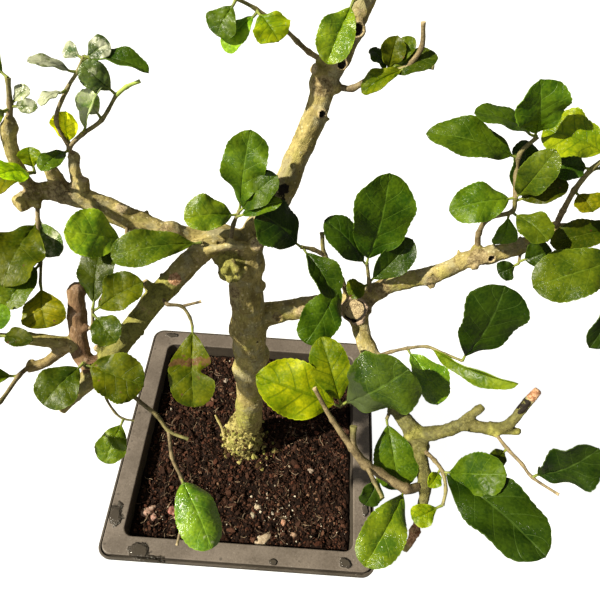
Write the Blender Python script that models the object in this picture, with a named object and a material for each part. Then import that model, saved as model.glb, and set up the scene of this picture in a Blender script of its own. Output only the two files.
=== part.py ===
# Siamese rough bush bonsai in a square plastic training pot
#
# Metres, +Z up. The origin is the centre of the pot's base, on the surface it stands on.
# -Y is the front. Routes and leaf sizes are written in millimetres and scaled by MM.

import math
import random

import bpy
import bmesh
from mathutils import Matrix, Vector

MM = 0.001
GAP = 0.3
SHARP_ANGLE = 40.0

# Finishes: plain colour and roughness
PLASTIC_COLOR, PLASTIC_ROUGHNESS = (0.16, 0.14, 0.125), 0.45
SOIL_COLOR, SOIL_DULLNESS = (0.055, 0.028, 0.018), 0.95
BARK_COLOR, BARK_ROUGHNESS = (0.42, 0.37, 0.20), 0.8
LEAF_COLOR, LEAF_ROUGHNESS = (0.09, 0.19, 0.02), 0.35

# Pot
POT_WIDTH = 150.0
POT_HEIGHT = 65.0
POT_BASE_WIDTH = 116.0
RIM_WIDTH = 12.0
LIP_HEIGHT = 5.0
GROOVE_DEPTH = 0.6
GROOVE_DROP = 1.2
WALL = 3.0
FLOOR = 3.0
WALL_DRAFT = 0.3
CORNER = 7.0
INNER_CORNER = 5.0
CORNER_STEPS = 3
DRAIN_RADIUS = 5.0
DRAIN_OFFSET = 32.0
DRAIN_SIDES = 10
DRILL_REACH = 2.0
POT_OPENING = POT_WIDTH - 2 * RIM_WIDTH
POT_FLOOR_WIDTH = POT_BASE_WIDTH - 2 * WALL

# Soil: its surface lies a little lower than the pebbles, and its sides follow the pot's walls
SOIL_LEVEL = 56.6
SOIL_ROUGHNESS = 1.1
SOIL_RINGS = 6
SOIL_SIDE_POINTS = 4
SOIL_SEED = 11
SOIL_TOP_SLACK, SOIL_FLOOR_SLACK = 1.8, 0.8
SOIL_WIDTH = POT_OPENING - 2 * GAP - SOIL_TOP_SLACK
SOIL_FLOOR_WIDTH = POT_FLOOR_WIDTH - 2 * GAP - SOIL_FLOOR_SLACK
COLLAR_RADIUS = 15.0
ROOT_CLEARANCE = 0.5

# Pebbles half sunk in the soil: x, y, radius
PEBBLES = [
    (-51, -44, 2.6), (-46, -47, 2.0), (-38, -46, 2.2), (-5, -52, 2.1), (2, -48, 1.8), (9, -53, 1.9),
    (-16, -30, 1.7), (30, -35, 2.0), (42, -50, 1.8), (28, 22, 2.0), (40, 30, 2.3), (-30, 35, 1.9),
]
PEBBLE_SEED = 5
PEBBLE_LEVEL = 56.8
PEBBLE_HEIGHT = 0.75
PEBBLE_LUMPS = (0.85, 1.1)

# Trunk, limbs and stubs
TRUNK_FOOT = (-4.0, 0.0)
ROOT_RADIUS = 7.6
ROOT_END = 27.0
ROOT_TOP = 66.0
TRUNK_SIDES = 12
LIMB_SIDES = 8
THIN_LIMB = 2.5
THIN_LIMB_SIDES = 6
LIMB_STEP = 14.0
STUB_SIDES = 5
STUB_FOOT, STUB_SWELLING, STUB_END = 0.9, 1.1, 1.0
STUB_SWELLS_AT = 0.75

# Sockets: short ends of wood that the sprays' twigs grow from
SOCKET_REACH = 2.0
SOCKET_SIDES = 5
SOCKET_FOOT, SOCKET_END = 1.35, 1.05
SOCKET_SEARCH_STEP = 2.0
SHORTEST_TWIG = 1.0

# Twigs
TWIG_SIDES = 5
TWIG_TAPER = 0.45
SIDE_TWIG = 0.8
SIDE_TWIG_TURN = 0.35

# Leaves
BLADE = 0.8
PETIOLE_LENGTH = 2.4
PETIOLE_SHARE = 0.2
PETIOLE_WIDTH = 1.3
PETIOLE_THICKNESS = 1.3
BLADE_FOOT_THICKNESS = 1.2
LEAF_BOW = 0.08
LEAF_FOLD = 0.22
LEAF_WAVE = 0.05
FACING = Vector((0.0, -0.45, 0.9)).normalized()

# A blade's margin from its base to near its tip: share of length, share of half width, height
# of the wave. The steps in width stand for the blunt teeth, and the margin waves up and down.
LARGE_MARGIN = [(0.0, 0.10, 0.0), (0.20, 0.70, 0.25), (0.45, 1.0, -0.15), (0.68, 0.92, 0.25),
                (0.88, 0.52, -0.15)]
SMALL_MARGIN = [(0.0, 0.10, 0.0), (0.30, 0.82, 0.2), (0.62, 0.98, -0.15), (0.86, 0.58, 0.2)]
SMALL_LEAF = 19.0
LEAF_STEP = 0.9

# Each limb: name, route, radii at the route's ends and middle
LIMBS = [
    ("trunk",
     [(-4, 0, 57.4), (-4, 0, 64), (-1, 0, 82), (1, 1, 109), (1, 3, 140), (2, 4, 170), (1, 8, 200),
      (1, 14, 222)],
     [11.5, 10.8, 7.9, 7.0, 7.9, 7.9, 7.6, 7.0]),
    ("leader",
     [(1, 14, 218), (9, 22, 229), (15, 29, 237), (19, 35, 246), (25, 41, 261), (29, 46, 276),
      (34, 48, 285), (37, 51, 295), (41, 54, 304), (43, 56, 312)],
     [6.0, 5.6, 5.4, 4.8, 4.6, 4.2, 4.0, 3.8, 3.7, 3.4]),
    ("left_limb",
     [(1, 16, 218), (-10, 16, 223), (-19, 14, 222), (-29, 12, 224), (-40, 13, 228), (-51, 14, 232),
      (-62, 15, 237), (-70, 15, 240), (-79, 14, 240), (-85, 6, 240)],
     [4.0, 3.8, 3.8, 4.6, 4.4, 4.7, 4.3, 4.2, 3.6, 3.3]),
    ("front_limb",
     [(1, 14, 220), (-8, 12, 224), (-16, 5, 223), (-26, -7, 217), (-33, -15, 213), (-40, -25, 207),
      (-52, -40, 198), (-64, -53, 192)],
     [5.0, 5.0, 4.9, 4.8, 4.8, 4.6, 4.0, 3.1]),
    ("right_limb",
     [(3, 6, 172), (9, 9, 178), (25, 10, 183), (36, 10, 188), (50, 8, 192), (64, 13, 201), (82, 14, 209),
      (96, 17, 217), (103, 17, 220), (116, 19, 225), (126, 22, 231), (143, 21, 236)],
     [6.0, 5.8, 4.9, 4.3, 4.6, 3.9, 3.7, 3.6, 3.6, 3.2, 2.8, 2.2]),
    ("front_right_limb",
     [(50, 8, 192), (54, -7, 186), (62, -21, 181), (70, -34, 175), (77, -43, 171), (80, -51, 166),
      (82, -60, 161),
      (81, -68, 156), (79, -76, 150), (75, -83, 145)],
     [4.4, 3.9, 3.6, 3.4, 4.0, 3.4, 3.0, 1.8, 1.7, 1.6]),
    ("side_limb",
     [(77, -43, 171), (88, -44, 178), (94, -43, 183), (104, -46, 187), (109, -46, 191), (114, -41, 198),
      (118, -37, 204)],
     [3.2, 2.8, 2.7, 2.4, 2.2, 2.0, 1.7]),
    ("side_stub", [(92, -43, 182), (97, -40, 187), (101, -38, 190)], [2.0, 1.8, 1.6]),
    ("side_spur", [(104, -46, 187), (109, -47, 188), (114, -48, 190)], [1.8, 1.6, 1.4]),
    ("left_upright", [(-50, -38, 199), (-56, -37, 202), (-58, -33, 206), (-59, -26, 214), (-59, -19, 223)],
     [3.6, 3.6, 3.6, 3.5, 3.1]),
    ("left_arm", [(-58, -33, 206), (-67, -34, 209), (-78, -35, 212)], [2.9, 2.7, 2.4]),
    ("left_arm_stub", [(-62, -34, 207), (-69, -40, 204), (-76, -43, 203)], [2.2, 2.1, 1.9]),
    ("left_rise", [(-78, 14, 240), (-82, 13, 247), (-83, 15, 262), (-82, 17, 268)], [3.0, 2.6, 2.6, 3.0]),
    ("left_hook", [(-64, 15, 239), (-65, 20, 247), (-65, 23, 252)], [2.4, 2.3, 2.0]),
    ("crossing_root", [(2, 7, 226), (-4, 4, 228), (-12, 3, 226), (-19, 3, 222)], [2.0, 1.7, 1.6, 1.8]),
    ("sucker", [(-5, 0, 63), (-13, -5, 62), (-18, 2, 72), (-22, 6, 78)], [1.6, 1.3, 1.1, 0.8]),
]

# Pruned stubs and knots: foot on the limb, direction, length, radius
STUBS = [
    ("fork_scar", (50, 8, 191), (-0.15, -0.80, 0.60), 8.5, 5.4),
    ("leader_cut_low", (26, 42, 266), (0.45, -0.80, 0.30), 6.5, 1.8),
    ("leader_cut_middle", (33, 47, 283), (0.25, -0.85, 0.40), 6.0, 2.2),
    ("leader_cut_high", (37, 51, 294), (0.30, -0.85, 0.35), 6.0, 2.8),
    ("leader_nub", (30, 46, 279), (-0.75, -0.45, 0.50), 8.0, 1.9),
    ("trunk_knot_left", (1, 9, 208), (-0.85, -0.45, 0.20), 10.0, 3.0),
    ("trunk_knot_right", (1, 7, 203), (0.90, -0.30, 0.10), 9.0, 2.2),
    ("trunk_cut_top", (3, 13, 220), (0.35, -0.60, 0.70), 9.5, 3.0),
    ("left_burl", (-29, 12, 224), (-0.15, -0.85, 0.45), 6.2, 3.0),
    ("left_scar", (-49, 14, 231), (0.30, -0.25, 0.90), 6.4, 2.4),
    ("left_cut", (-63, 16, 238), (0.25, 0.20, 0.95), 8.0, 2.2),
    ("left_split", (-70, 15, 240), (-0.20, 0.10, 0.97), 12.0, 2.6),
    ("front_cut", (-31, -12, 215), (-0.60, 0.05, 0.75), 8.0, 1.7),
    ("front_nub", (-47, -33, 202), (-0.70, -0.10, 0.70), 7.0, 1.5),
    ("right_knot", (26, 10, 184), (0.10, -0.75, 0.55), 5.6, 2.6),
    ("right_eye", (16, 9, 180), (0.0, -0.85, 0.35), 6.2, 2.0),
    ("right_spur_one", (79, 14, 208), (0.35, -0.60, -0.55), 6.4, 1.5),
    ("right_spur_two", (96, 17, 217), (0.20, -0.80, -0.30), 5.2, 1.4),
    ("right_cut", (102, 17, 220), (0.10, -0.85, 0.35), 5.0, 1.7),
]

# Each leafy spray: name, twig radius, twigs (first route starts on the wood), and leaves
# A leaf: twig, point on its route, heading, climb, length, width, roll (degrees and millimetres)
SPRAYS = [
    ("crown_left_spray", 1.5,
     {"a": [(30, 47, 282), (22, 46, 287), (18, 43, 292), (13, 42, 297), (4, 41.2, 303), (-2, 39, 307)]},
     [("a", 4, -50, -20, 14, 13, 0), ("a", 4, -138, -32, 17, 8, 0), ("a", 5, -133, -46, 13, 11, 0),
      ("a", 5, 150, 20, 18, 12, 0)]),
    ("crown_top_spray", 2.2,
     {"a": [(42, 55, 309), (44, 57, 319), (46, 60, 327), (45, 62, 336)]},
     [("a", 1, 20, 20, 24, 15, 0), ("a", 2, 150, 30, 22, 14, 0), ("a", 2, -60, 25, 20, 12, 0),
      ("a", 3, 70, 45, 24, 15, 0), ("a", 3, -160, 45, 19, 12, 0)]),
    ("crown_front_spray", 1.2,
     {"a": [(42, 54, 306), (36.1, 46.1, 305.8)]},
     [("a", 1, -117, -42, 22, 14, 0)]),
    ("crown_right_spray", 1.9,
     {"a": [(30, 46, 274), (39, 41, 277), (45, 40, 282), (51, 38, 285), (57, 37, 289), (65, 34, 291)],
      "b": [(57, 37, 289), (60, 37, 296), (59, 38, 304)]},
     [("a", 3, 146, 39, 11, 7, 0), ("a", 3, 63, 75, 13, 9, 0), ("a", 4, -161, -24, 18, 8, 0),
      ("a", 3, -7, 30, 19, 9, 0), ("a", 3, 21, 52, 16, 7, 0)]),
    ("trunk_top_spray", 1.5,
     {"a": [(-4, 4, 228), (-3, 10, 234), (-1, 14, 238)]},
     [("a", 2, 68, 70, 32, 17, 0), ("a", 2, 8, 51, 23, 13, 0), ("a", 2, -155, 14, 21, 15, 0),
      ("a", 2, -6, 32, 21, 7, 0)]),
    ("limb_leaf_spray", 1.1,
     {"a": [(-13, 9, 223), (-15, 3, 230)]},
     [("a", 1, -157, 7, 34, 14, 0)]),
    ("left_low_spray", 1.3,
     {"a": [(-46, 14, 232), (-45, 6, 229), (-44, 1, 230)]},
     [("a", 2, -155, 30, 23, 19, 0)]),
    ("left_shoot_spray", 1.6,
     {"a": [(-65, 23, 251), (-64, 20, 258), (-59, 23, 262), (-52, 27, 266), (-46, 31, 274)],
      "b": [(-46, 31, 274), (-42, 32, 277), (-37, 33, 279)],
      "c": [(-64, 20, 258), (-66.6, 22.1, 268), (-62, 28, 277), (-58, 31, 282), (-55, 33, 287)]},
     [("a", 4, -176, 52, 15, 10, 0), ("c", 4, -7, -5, 23, 10, 0), ("c", 4, 156, 16, 8, 6, 0),
      ("c", 4, 14, 29, 12, 8, 0), ("c", 3, -154, 25, 16, 7, 0), ("a", 2, 40, 55, 20, 9, 0),
      ("a", 3, 165, 64, 12, 9, 0), ("a", 1, 86, 69, 13, 10, 0), ("c", 2, -120, 2, 12, 7, 0),
      ("a", 1, -109, 7, 16, 8, 0)]),
    ("left_rise_spray", 1.8,
     {"a": [(-82, 17, 267), (-80, 20, 275), (-79, 23, 283)]},
     [("a", 1, 22, 30, 9, 6, 0), ("a", 1, -10, 9, 11, 5, 0), ("a", 1, -115, 15, 15, 12, 0),
      ("a", 2, 150, 25, 19, 13, 0), ("a", 1, -170, 0, 21, 13, 0)]),
    ("left_side_spray", 1.2,
     {"a": [(-82, 13, 250), (-74.3, 9, 254.3)]},
     [("a", 1, 107, 59, 9, 8, 0), ("a", 1, -112, 34, 16, 12, 0), ("a", 1, -155, -5, 18, 12, 0)]),
    ("left_hanging_spray", 1.3,
     {"a": [(-79, 12, 240), (-77, 3, 236), (-75, -4, 234), (-73, -12, 229), (-72, -19, 225)]},
     [("a", 1, -102, -14, 29, 26, 0), ("a", 1, -50, -27, 17, 12, 0), ("a", 4, -73, -30, 17, 16, 0),
      ("a", 3, -115, -15, 21, 13, 0)]),
    ("left_cluster_spray", 1.3,
     {"a": [(-59, -29, 211), (-52.5, -29, 213.5), (-52, -25, 219.5)]},
     [("a", 2, 90, 29, 24, 14, 0), ("a", 2, 26, 23, 22, 15, 0), ("a", 2, -43, -10, 15, 12, 0)]),
    ("left_far_spray", 1.5,
     {"a": [(-77, -35, 213), (-84, -38, 217), (-89, -42, 220)]},
     [("a", 1, 60, 60, 13, 8, 0), ("a", 1, -13, 15, 15, 7, 0), ("a", 2, 170, 20, 22, 14, 0),
      ("a", 2, -120, 10, 18, 11, 0)]),
    ("left_tip_spray", 1.5,
     {"a": [(-74, -41, 204), (-75, -49, 208), (-77, -60, 209), (-80, -68, 210)]},
     [("a", 1, -165, 15, 17, 9, 0), ("a", 3, -150, 0, 20, 12, 0), ("a", 3, -60, 25, 10, 5, 0)]),
    ("front_pair_spray", 1.4,
     {"a": [(-54, -41, 198), (-54, -41, 207)]},
     [("a", 1, -120, -4, 20, 16, 0), ("a", 1, -14, -7, 24, 19, 0)]),
    ("torn_leaf_spray", 1.2,
     {"a": [(-31, -12, 215), (-25, -20, 219), (-20, -19, 217), (-17, -21, 213), (-16, -23, 210)],
      "b": [(-20, -19, 217), (-13, -16, 217)]},
     [("a", 4, -84, -41, 32, 18, 0)]),
    ("low_leaf_spray", 0.9,
     {"a": [(-50, -38, 199), (-48, -46, 190), (-45, -49, 184), (-42, -50, 181), (-38, -50, 180)]},
     [("a", 3, -104, -16, 18, 12, 0)]),
    ("front_twig_spray", 1.6,
     {"a": [(-45, -32, 203), (-39, -43, 190), (-29, -48, 182), (-24, -52, 177), (-16, -54, 175)],
      "b": [(-24, -52, 177), (-22, -60, 170), (-18, -66, 165), (-15, -73, 162), (-15, -79, 160),
            (-16, -90, 157)]},
     [("b", 2, -57, -4, 30, 18, 0)]),
    ("fork_upright_spray", 2,
     {"a": [(47, 8, 192), (42, 10, 206), (34, 12, 218), (32, 16, 227)],
      "b": [(34, 12, 218), (29, 11, 222), (24, 9, 225)]},
     [("b", 2, 168, 39, 23, 23, 0), ("b", 2, -51, -23, 24, 15, 0), ("a", 1, -115, -19, 32, 17, 0)]),
    ("fork_leaf_spray", 1.6,
     {"a": [(56, 9, 195), (54, 9, 206), (51.8, 11.2, 215.5)]},
     [("a", 2, 73, 67, 39, 26, 0), ("a", 2, 162, 45, 27, 16, 0), ("a", 1, 29, 47, 26, 14, 0),
      ("a", 1, -148, 4, 11, 9, 0)]),
    ("fork_low_spray", 1.6,
     {"a": [(62, -21, 181), (53, -32, 182), (43.9, -40, 185.5)]},
     [("a", 2, 170, 15, 36, 23, 0), ("a", 2, 117, 40, 29, 16, 0), ("a", 2, 5, 51, 35, 29, 0)]),
    ("right_middle_spray", 1.3,
     {"a": [(58, -14, 183), (65, -15, 190), (71, -16, 195), (78, -18, 200), (84, -23, 203), (90, -27, 205)]},
     [("a", 2, -62, -9, 26, 18, 0), ("a", 3, -38, 17, 38, 9, 50), ("a", 5, 55, 64, 35, 25, 0)]),
    ("upper_right_spray", 2,
     {"a": [(98, 18, 218), (96, 20, 229), (97, 19, 238), (103, 15, 246), (102, 15, 253)],
      "b": [(102, 15, 253), (100.3, 22.4, 265.3), (104, 23, 274)]},
     [("a", 4, -167, -7, 25, 15, 0), ("a", 4, -52, 76, 26, 12, 0), ("a", 4, -10, 38, 19, 10, 0),
      ("a", 3, -54, 3, 18, 13, 0), ("b", 1, 178, 13, 35, 15, 0), ("b", 2, 178, 18, 25, 11, 0),
      ("b", 2, -167, 74, 23, 18, 0), ("a", 3, -71, -80, 15, 10, 0), ("a", 4, 85, 48, 23, 12, 0)]),
    ("right_rise_spray", 2,
     {"a": [(126, 22, 231), (125, 21, 243), (124, 19, 255), (126, 19, 265), (129, 18, 272)]},
     [("a", 4, 158, 8, 24, 19, 0), ("a", 3, -173, 10, 15, 11, 0), ("a", 2, -62, -7, 11, 12, 0),
      ("a", 4, 20, 60, 20, 14, 0), ("a", 3, 10, 20, 22, 14, 0)]),
    ("right_end_spray", 1.8,
     {"a": [(141, 21, 236), (150, 17, 241), (157, 15, 247), (163, 14, 252)],
      "b": [(150, 17, 241), (149.3, 5.7, 235), (144, -2, 235)]},
     [("a", 1, -169, -13, 30, 12, 0), ("b", 1, -160, -8, 39, 20, 0), ("b", 2, -111, -30, 31, 14, 0),
      ("a", 2, -40, 10, 26, 16, 0), ("a", 3, 60, 40, 24, 15, 0), ("a", 3, -20, 35, 22, 14, 0),
      ("a", 2, 120, 10, 22, 14, 0)]),
    ("right_under_spray", 1,
     {"a": [(115, 19, 224), (113, 11, 222)]},
     [("a", 1, -156, -20, 9, 9, 0), ("a", 1, 4, 35, 13, 13, 0)]),
    ("side_twig_spray", 1.2,
     {"a": [(104, -46, 187), (108, -55, 189), (112, -61, 190), (115, -66, 190), (122, -73, 193)]},
     [("a", 3, 5, 60, 28, 20, 0), ("a", 1, -140, 0, 9, 7, 0)]),
    ("low_leaves_spray", 1.5,
     {"a": [(79, -47, 169), (83, -56, 176), (85, -62, 179), (86, -68, 177), (85, -73, 174)]},
     [("a", 2, -16, 38, 25, 16, 0), ("a", 2, -50, 20, 46, 25, 0), ("a", 4, -155, -8, 13, 9, 0),
      ("a", 2, -125, 1, 9, 6, 0)]),
    ("low_back_spray", 1.3,
     {"a": [(68, -31, 176), (65, -38, 173)]},
     [("a", 1, -76, -26, 29, 18, 0)]),
    ("low_front_spray", 1.9,
     {"a": [(82, -61, 161), (73, -64, 165), (62, -60, 169), (56, -58, 172), (50, -54, 178),
            (41, -47, 187), (33, -39, 197)],
      "b": [(56, -58, 172), (59, -65, 173), (62, -72, 174)],
      "c": [(50, -54, 178), (49.7, -47.9, 184.5)]},
     [("a", 1, -119, -1, 35, 17, 0), ("a", 2, -115, -30, 14, 10, 0)]),
]


def clear_scene():
    for existing in list(bpy.data.objects):
        bpy.data.objects.remove(existing, do_unlink=True)


def millimetres(point):
    return Vector(point) * MM


def finish_material(name, color, roughness):
    material = bpy.data.materials.new(name)
    material.use_nodes = True
    shader = material.node_tree.nodes["Principled BSDF"]
    shader.inputs["Base Color"].default_value = (*color, 1.0)
    shader.inputs["Roughness"].default_value = roughness
    shader.inputs["Metallic"].default_value = 0.0
    return material


def mesh_object(name, vertices, faces):
    mesh = bpy.data.meshes.new(name)
    mesh.from_pydata([tuple(vertex) for vertex in vertices], [], faces)
    mesh.validate()
    piece = bpy.data.objects.new(name, mesh)
    bpy.context.scene.collection.objects.link(piece)
    return piece


def loft(name, rings):
    """Join rings of equal length, in order, and close both ends with a flat face."""
    count = len(rings[0])
    vertices = [vertex for ring in rings for vertex in ring]
    faces = [list(range(count))[::-1]]
    for level in range(len(rings) - 1):
        low = level * count
        high = low + count
        for i in range(count):
            j = (i + 1) % count
            faces.append([low + i, low + j, high + j, high + i])
    last = (len(rings) - 1) * count
    faces.append([last + i for i in range(count)])
    return mesh_object(name, vertices, faces)


def rounded_square(width, corner, height, side_points=0):
    """Points round a square with rounded corners, counter-clockwise seen from above."""
    points = []
    span = width - 2 * corner
    inset = width / 2 - corner
    for quarter in range(4):
        middle = math.radians(45 + 90 * quarter)
        centre_x = math.copysign(inset, math.cos(middle))
        centre_y = math.copysign(inset, math.sin(middle))
        for step in range(CORNER_STEPS + 1):
            angle = math.radians(90 * quarter + 90 * step / CORNER_STEPS)
            x = centre_x + corner * math.cos(angle)
            y = centre_y + corner * math.sin(angle)
            points.append(millimetres((x, y, height)))
        ahead = Vector((-math.sin(angle), math.cos(angle), 0.0)) * MM
        start = points[-1]
        for step in range(side_points):
            points.append(start + ahead * span * (step + 1) / (side_points + 1))
    return points


def cut(piece, cutter):
    cutter.hide_render = True
    cutter.display_type = "WIRE"
    modifier = piece.modifiers.new("Cut", "BOOLEAN")
    modifier.operation = "DIFFERENCE"
    modifier.solver = "EXACT"
    modifier.object = cutter
    keep_result(piece)
    bpy.data.objects.remove(cutter, do_unlink=True)


def keep_result(piece):
    """Replace a mesh with what its modifiers make of it."""
    graph = bpy.context.evaluated_depsgraph_get()
    mesh = bpy.data.meshes.new_from_object(piece.evaluated_get(graph))
    piece.modifiers.clear()
    piece.data = mesh


def fuse(name, pieces):
    """One Boolean union of the first piece with a collection of the others."""
    base = pieces[0]
    base.name = name
    if len(pieces) > 1:
        group = bpy.data.collections.new(name + "_group")
        bpy.context.scene.collection.children.link(group)
        for piece in pieces[1:]:
            bpy.context.scene.collection.objects.unlink(piece)
            group.objects.link(piece)
        modifier = base.modifiers.new("Join", "BOOLEAN")
        modifier.operation = "UNION"
        modifier.operand_type = "COLLECTION"
        modifier.collection = group
        modifier.solver = "EXACT"
        keep_result(base)
        for piece in pieces[1:]:
            bpy.data.objects.remove(piece, do_unlink=True)
        bpy.data.collections.remove(group)
        keep_main_body(base)
    base.data.name = name
    return base


def keep_main_body(piece):
    """Fill the tiny hollows that a union seals, and drop its scraps: only the largest body stays."""
    builder = bmesh.new()
    builder.from_mesh(piece.data)
    bodies = []
    waiting = set(builder.verts)
    while waiting:
        body = set()
        edge = [waiting.pop()]
        while edge:
            vertex = edge.pop()
            body.add(vertex)
            for link in vertex.link_edges:
                other = link.other_vert(vertex)
                if other in waiting:
                    waiting.discard(other)
                    edge.append(other)
        bodies.append(body)
    bodies.sort(key=len)
    for body in bodies[:-1]:
        print(piece.name, "drops a scrap of", len(body), "points")
        bmesh.ops.delete(builder, geom=list(body), context="VERTS")
    builder.to_mesh(piece.data)
    builder.free()


def dress(piece, material, smooth=True):
    piece.data.materials.clear()
    piece.data.materials.append(material)
    if smooth:
        piece.data.shade_smooth()
        piece.data.set_sharp_from_angle(angle=math.radians(SHARP_ANGLE))


def make_pot():
    under_rim = POT_HEIGHT - LIP_HEIGHT
    groove = POT_HEIGHT - GROOVE_DROP
    profile = [
        (POT_BASE_WIDTH, CORNER, 0.0),
        (POT_OPENING + 2 * WALL, CORNER, under_rim),
        (POT_WIDTH, CORNER, under_rim),
        (POT_WIDTH, CORNER, groove - GROOVE_DEPTH),
        (POT_WIDTH - 2 * GROOVE_DEPTH, CORNER, groove),
        (POT_WIDTH - 2 * GROOVE_DEPTH, CORNER, POT_HEIGHT),
        (POT_OPENING, INNER_CORNER, POT_HEIGHT),
        (POT_OPENING - 2 * WALL_DRAFT, INNER_CORNER, under_rim),
        (POT_FLOOR_WIDTH, INNER_CORNER, FLOOR),
    ]
    rings = [rounded_square(width, corner, height) for width, corner, height in profile]
    pot = loft("pot", rings)
    for side_x in (-1, 1):
        for side_y in (-1, 1):
            place = (side_x * DRAIN_OFFSET, side_y * DRAIN_OFFSET)
            drill = disc_rod("drill", place, DRAIN_RADIUS, -DRILL_REACH, FLOOR + DRILL_REACH, DRAIN_SIDES)
            cut(pot, drill)
    dress(pot, finish_material("pot_plastic", PLASTIC_COLOR, PLASTIC_ROUGHNESS))
    return pot


def disc_rod(name, centre, radius, low, high, sides):
    rings = []
    for height in (low, high):
        ring = []
        for i in range(sides):
            angle = 2 * math.pi * i / sides
            x = centre[0] + radius * math.cos(angle)
            y = centre[1] + radius * math.sin(angle)
            ring.append(millimetres((x, y, height)))
        rings.append(ring)
    return loft(name, rings)


def circle_ring(radius, height, count):
    """A ring round the trunk whose points answer those of a rounded square of as many points."""
    turn = math.radians(360.0 / count) * (CORNER_STEPS / 2)
    points = []
    for i in range(count):
        angle = 2 * math.pi * i / count + math.radians(45) - turn
        points.append(millimetres((TRUNK_FOOT[0] + radius * math.cos(angle),
                                   TRUNK_FOOT[1] + radius * math.sin(angle), height)))
    return points


def soil_ring(share, height, draw):
    """A ring between the pot's wall (share 0) and the flat collar round the trunk (share 1)."""
    outer = rounded_square(SOIL_WIDTH, INNER_CORNER, height, SOIL_SIDE_POINTS)
    inner = circle_ring(COLLAR_RADIUS, height, len(outer))
    points = []
    for far, near in zip(outer, inner):
        place = far.lerp(near, share)
        if share < 1.0:
            place.z += draw.uniform(-SOIL_ROUGHNESS, SOIL_ROUGHNESS) * MM
        points.append(place)
    return points


def make_soil():
    draw = random.Random(SOIL_SEED)
    base = rounded_square(SOIL_FLOOR_WIDTH, INNER_CORNER, FLOOR + GAP, SOIL_SIDE_POINTS)
    rings = [base]
    for step in range(SOIL_RINGS + 1):
        rings.append(soil_ring(step / SOIL_RINGS, SOIL_LEVEL, draw))
    hole = ROOT_RADIUS + ROOT_CLEARANCE
    rings.append(circle_ring(hole, SOIL_LEVEL, len(base)))
    rings.append(circle_ring(hole, ROOT_END - GAP, len(base)))
    soil = loft("soil", rings)
    pebbles = [soil] + [make_pebble(i, x, y, size) for i, (x, y, size) in enumerate(PEBBLES)]
    soil = fuse("soil", pebbles)
    dress(soil, finish_material("potting_mix", SOIL_COLOR, SOIL_DULLNESS), smooth=False)
    return soil


def make_pebble(index, x, y, size):
    draw = random.Random(PEBBLE_SEED + index)
    builder = bmesh.new()
    bmesh.ops.create_icosphere(builder, subdivisions=1, radius=size * MM)
    for vertex in builder.verts:
        vertex.co *= draw.uniform(*PEBBLE_LUMPS)
        vertex.co.z *= PEBBLE_HEIGHT
        vertex.co += millimetres((x, y, PEBBLE_LEVEL))
    mesh = bpy.data.meshes.new("pebble")
    builder.to_mesh(mesh)
    builder.free()
    pebble = bpy.data.objects.new("pebble_%d" % index, mesh)
    bpy.context.scene.collection.objects.link(pebble)
    return pebble


def smooth_route(route, radii, step):
    """Read a smooth curve through the route's points about every step millimetres."""
    points = [Vector(point) for point in route]
    first = points[0] * 2 - points[1]
    last = points[-1] * 2 - points[-2]
    guide = [first] + points + [last]
    places = []
    for i in range(len(points) - 1):
        p0, p1, p2, p3 = guide[i:i + 4]
        parts = max(1, round((p2 - p1).length / step))
        for part in range(parts):
            t = part / parts
            place = 0.5 * ((2 * p1) + (p2 - p0) * t + (2 * p0 - 5 * p1 + 4 * p2 - p3) * t * t
                           + (3 * p1 - p0 - 3 * p2 + p3) * t * t * t)
            places.append((place, radii[i] * (1 - t) + radii[i + 1] * t))
    places.append((points[-1], radii[-1]))
    return places


def tube(name, places, sides, turn=0.0):
    """A closed tube along a list of (point, radius) in millimetres."""
    rings = []
    across = None
    for i, (point, radius) in enumerate(places):
        before = places[max(0, i - 1)][0]
        after = places[min(len(places) - 1, i + 1)][0]
        ahead = (after - before).normalized()
        if across is None:
            across = ahead.orthogonal().normalized()
        across = (across - ahead * across.dot(ahead)).normalized()
        beside = ahead.cross(across)
        ring = []
        for k in range(sides):
            angle = turn + 2 * math.pi * k / sides
            offset = across * math.cos(angle) + beside * math.sin(angle)
            ring.append((point + offset * radius) * MM)
        rings.append(ring)
    return loft(name, rings)


def make_limb(name, route, radii):
    sides = TRUNK_SIDES if name == "trunk" else LIMB_SIDES
    if max(radii) < THIN_LIMB:
        sides = THIN_LIMB_SIDES
    return tube(name, smooth_route(route, radii, LIMB_STEP), sides)


def make_stub(name, foot, direction, length, radius):
    start = Vector(foot)
    end = start + Vector(direction).normalized() * length
    swelling = start.lerp(end, STUB_SWELLS_AT)
    places = [(start, radius * STUB_FOOT), (swelling, radius * STUB_SWELLING), (end, radius * STUB_END)]
    return tube(name, places, STUB_SIDES)


def twig_socket(route, radius):
    """The wood's flat-ended socket for a spray: from the limb's axis out to just short of the twig."""
    start = Vector(route[0])
    ahead = (Vector(route[1]) - start).normalized()
    end = start + ahead * socket_length(route)
    return tube("socket", [(start, radius * SOCKET_FOOT), (end, radius * SOCKET_END)], SOCKET_SIDES)


def socket_length(route):
    """How far the socket stands out from the limb's axis, found from the limbs' own radii."""
    start = Vector(route[0])
    nearest = min(
        ((Vector(point) - start).length, radius)
        for _, limb_route, radii in LIMBS
        for point, radius in smooth_route(limb_route, radii, SOCKET_SEARCH_STEP)
    )
    whole = (Vector(route[1]) - start).length
    return min(nearest[1] + SOCKET_REACH, whole - SHORTEST_TWIG)


def make_wood():
    pieces = [make_limb(name, route, radii) for name, route, radii in LIMBS]
    x, y = TRUNK_FOOT
    pieces.append(disc_rod("root", (x, y), ROOT_RADIUS, ROOT_END, ROOT_TOP, TRUNK_SIDES))
    pieces += [make_stub(*stub) for stub in STUBS]
    for _, radius, twigs, _ in SPRAYS:
        pieces.append(twig_socket(twigs["a"], radius))
    wood = fuse("wood", pieces)
    dress(wood, finish_material("bark", BARK_COLOR, BARK_ROUGHNESS))
    return wood


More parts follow.
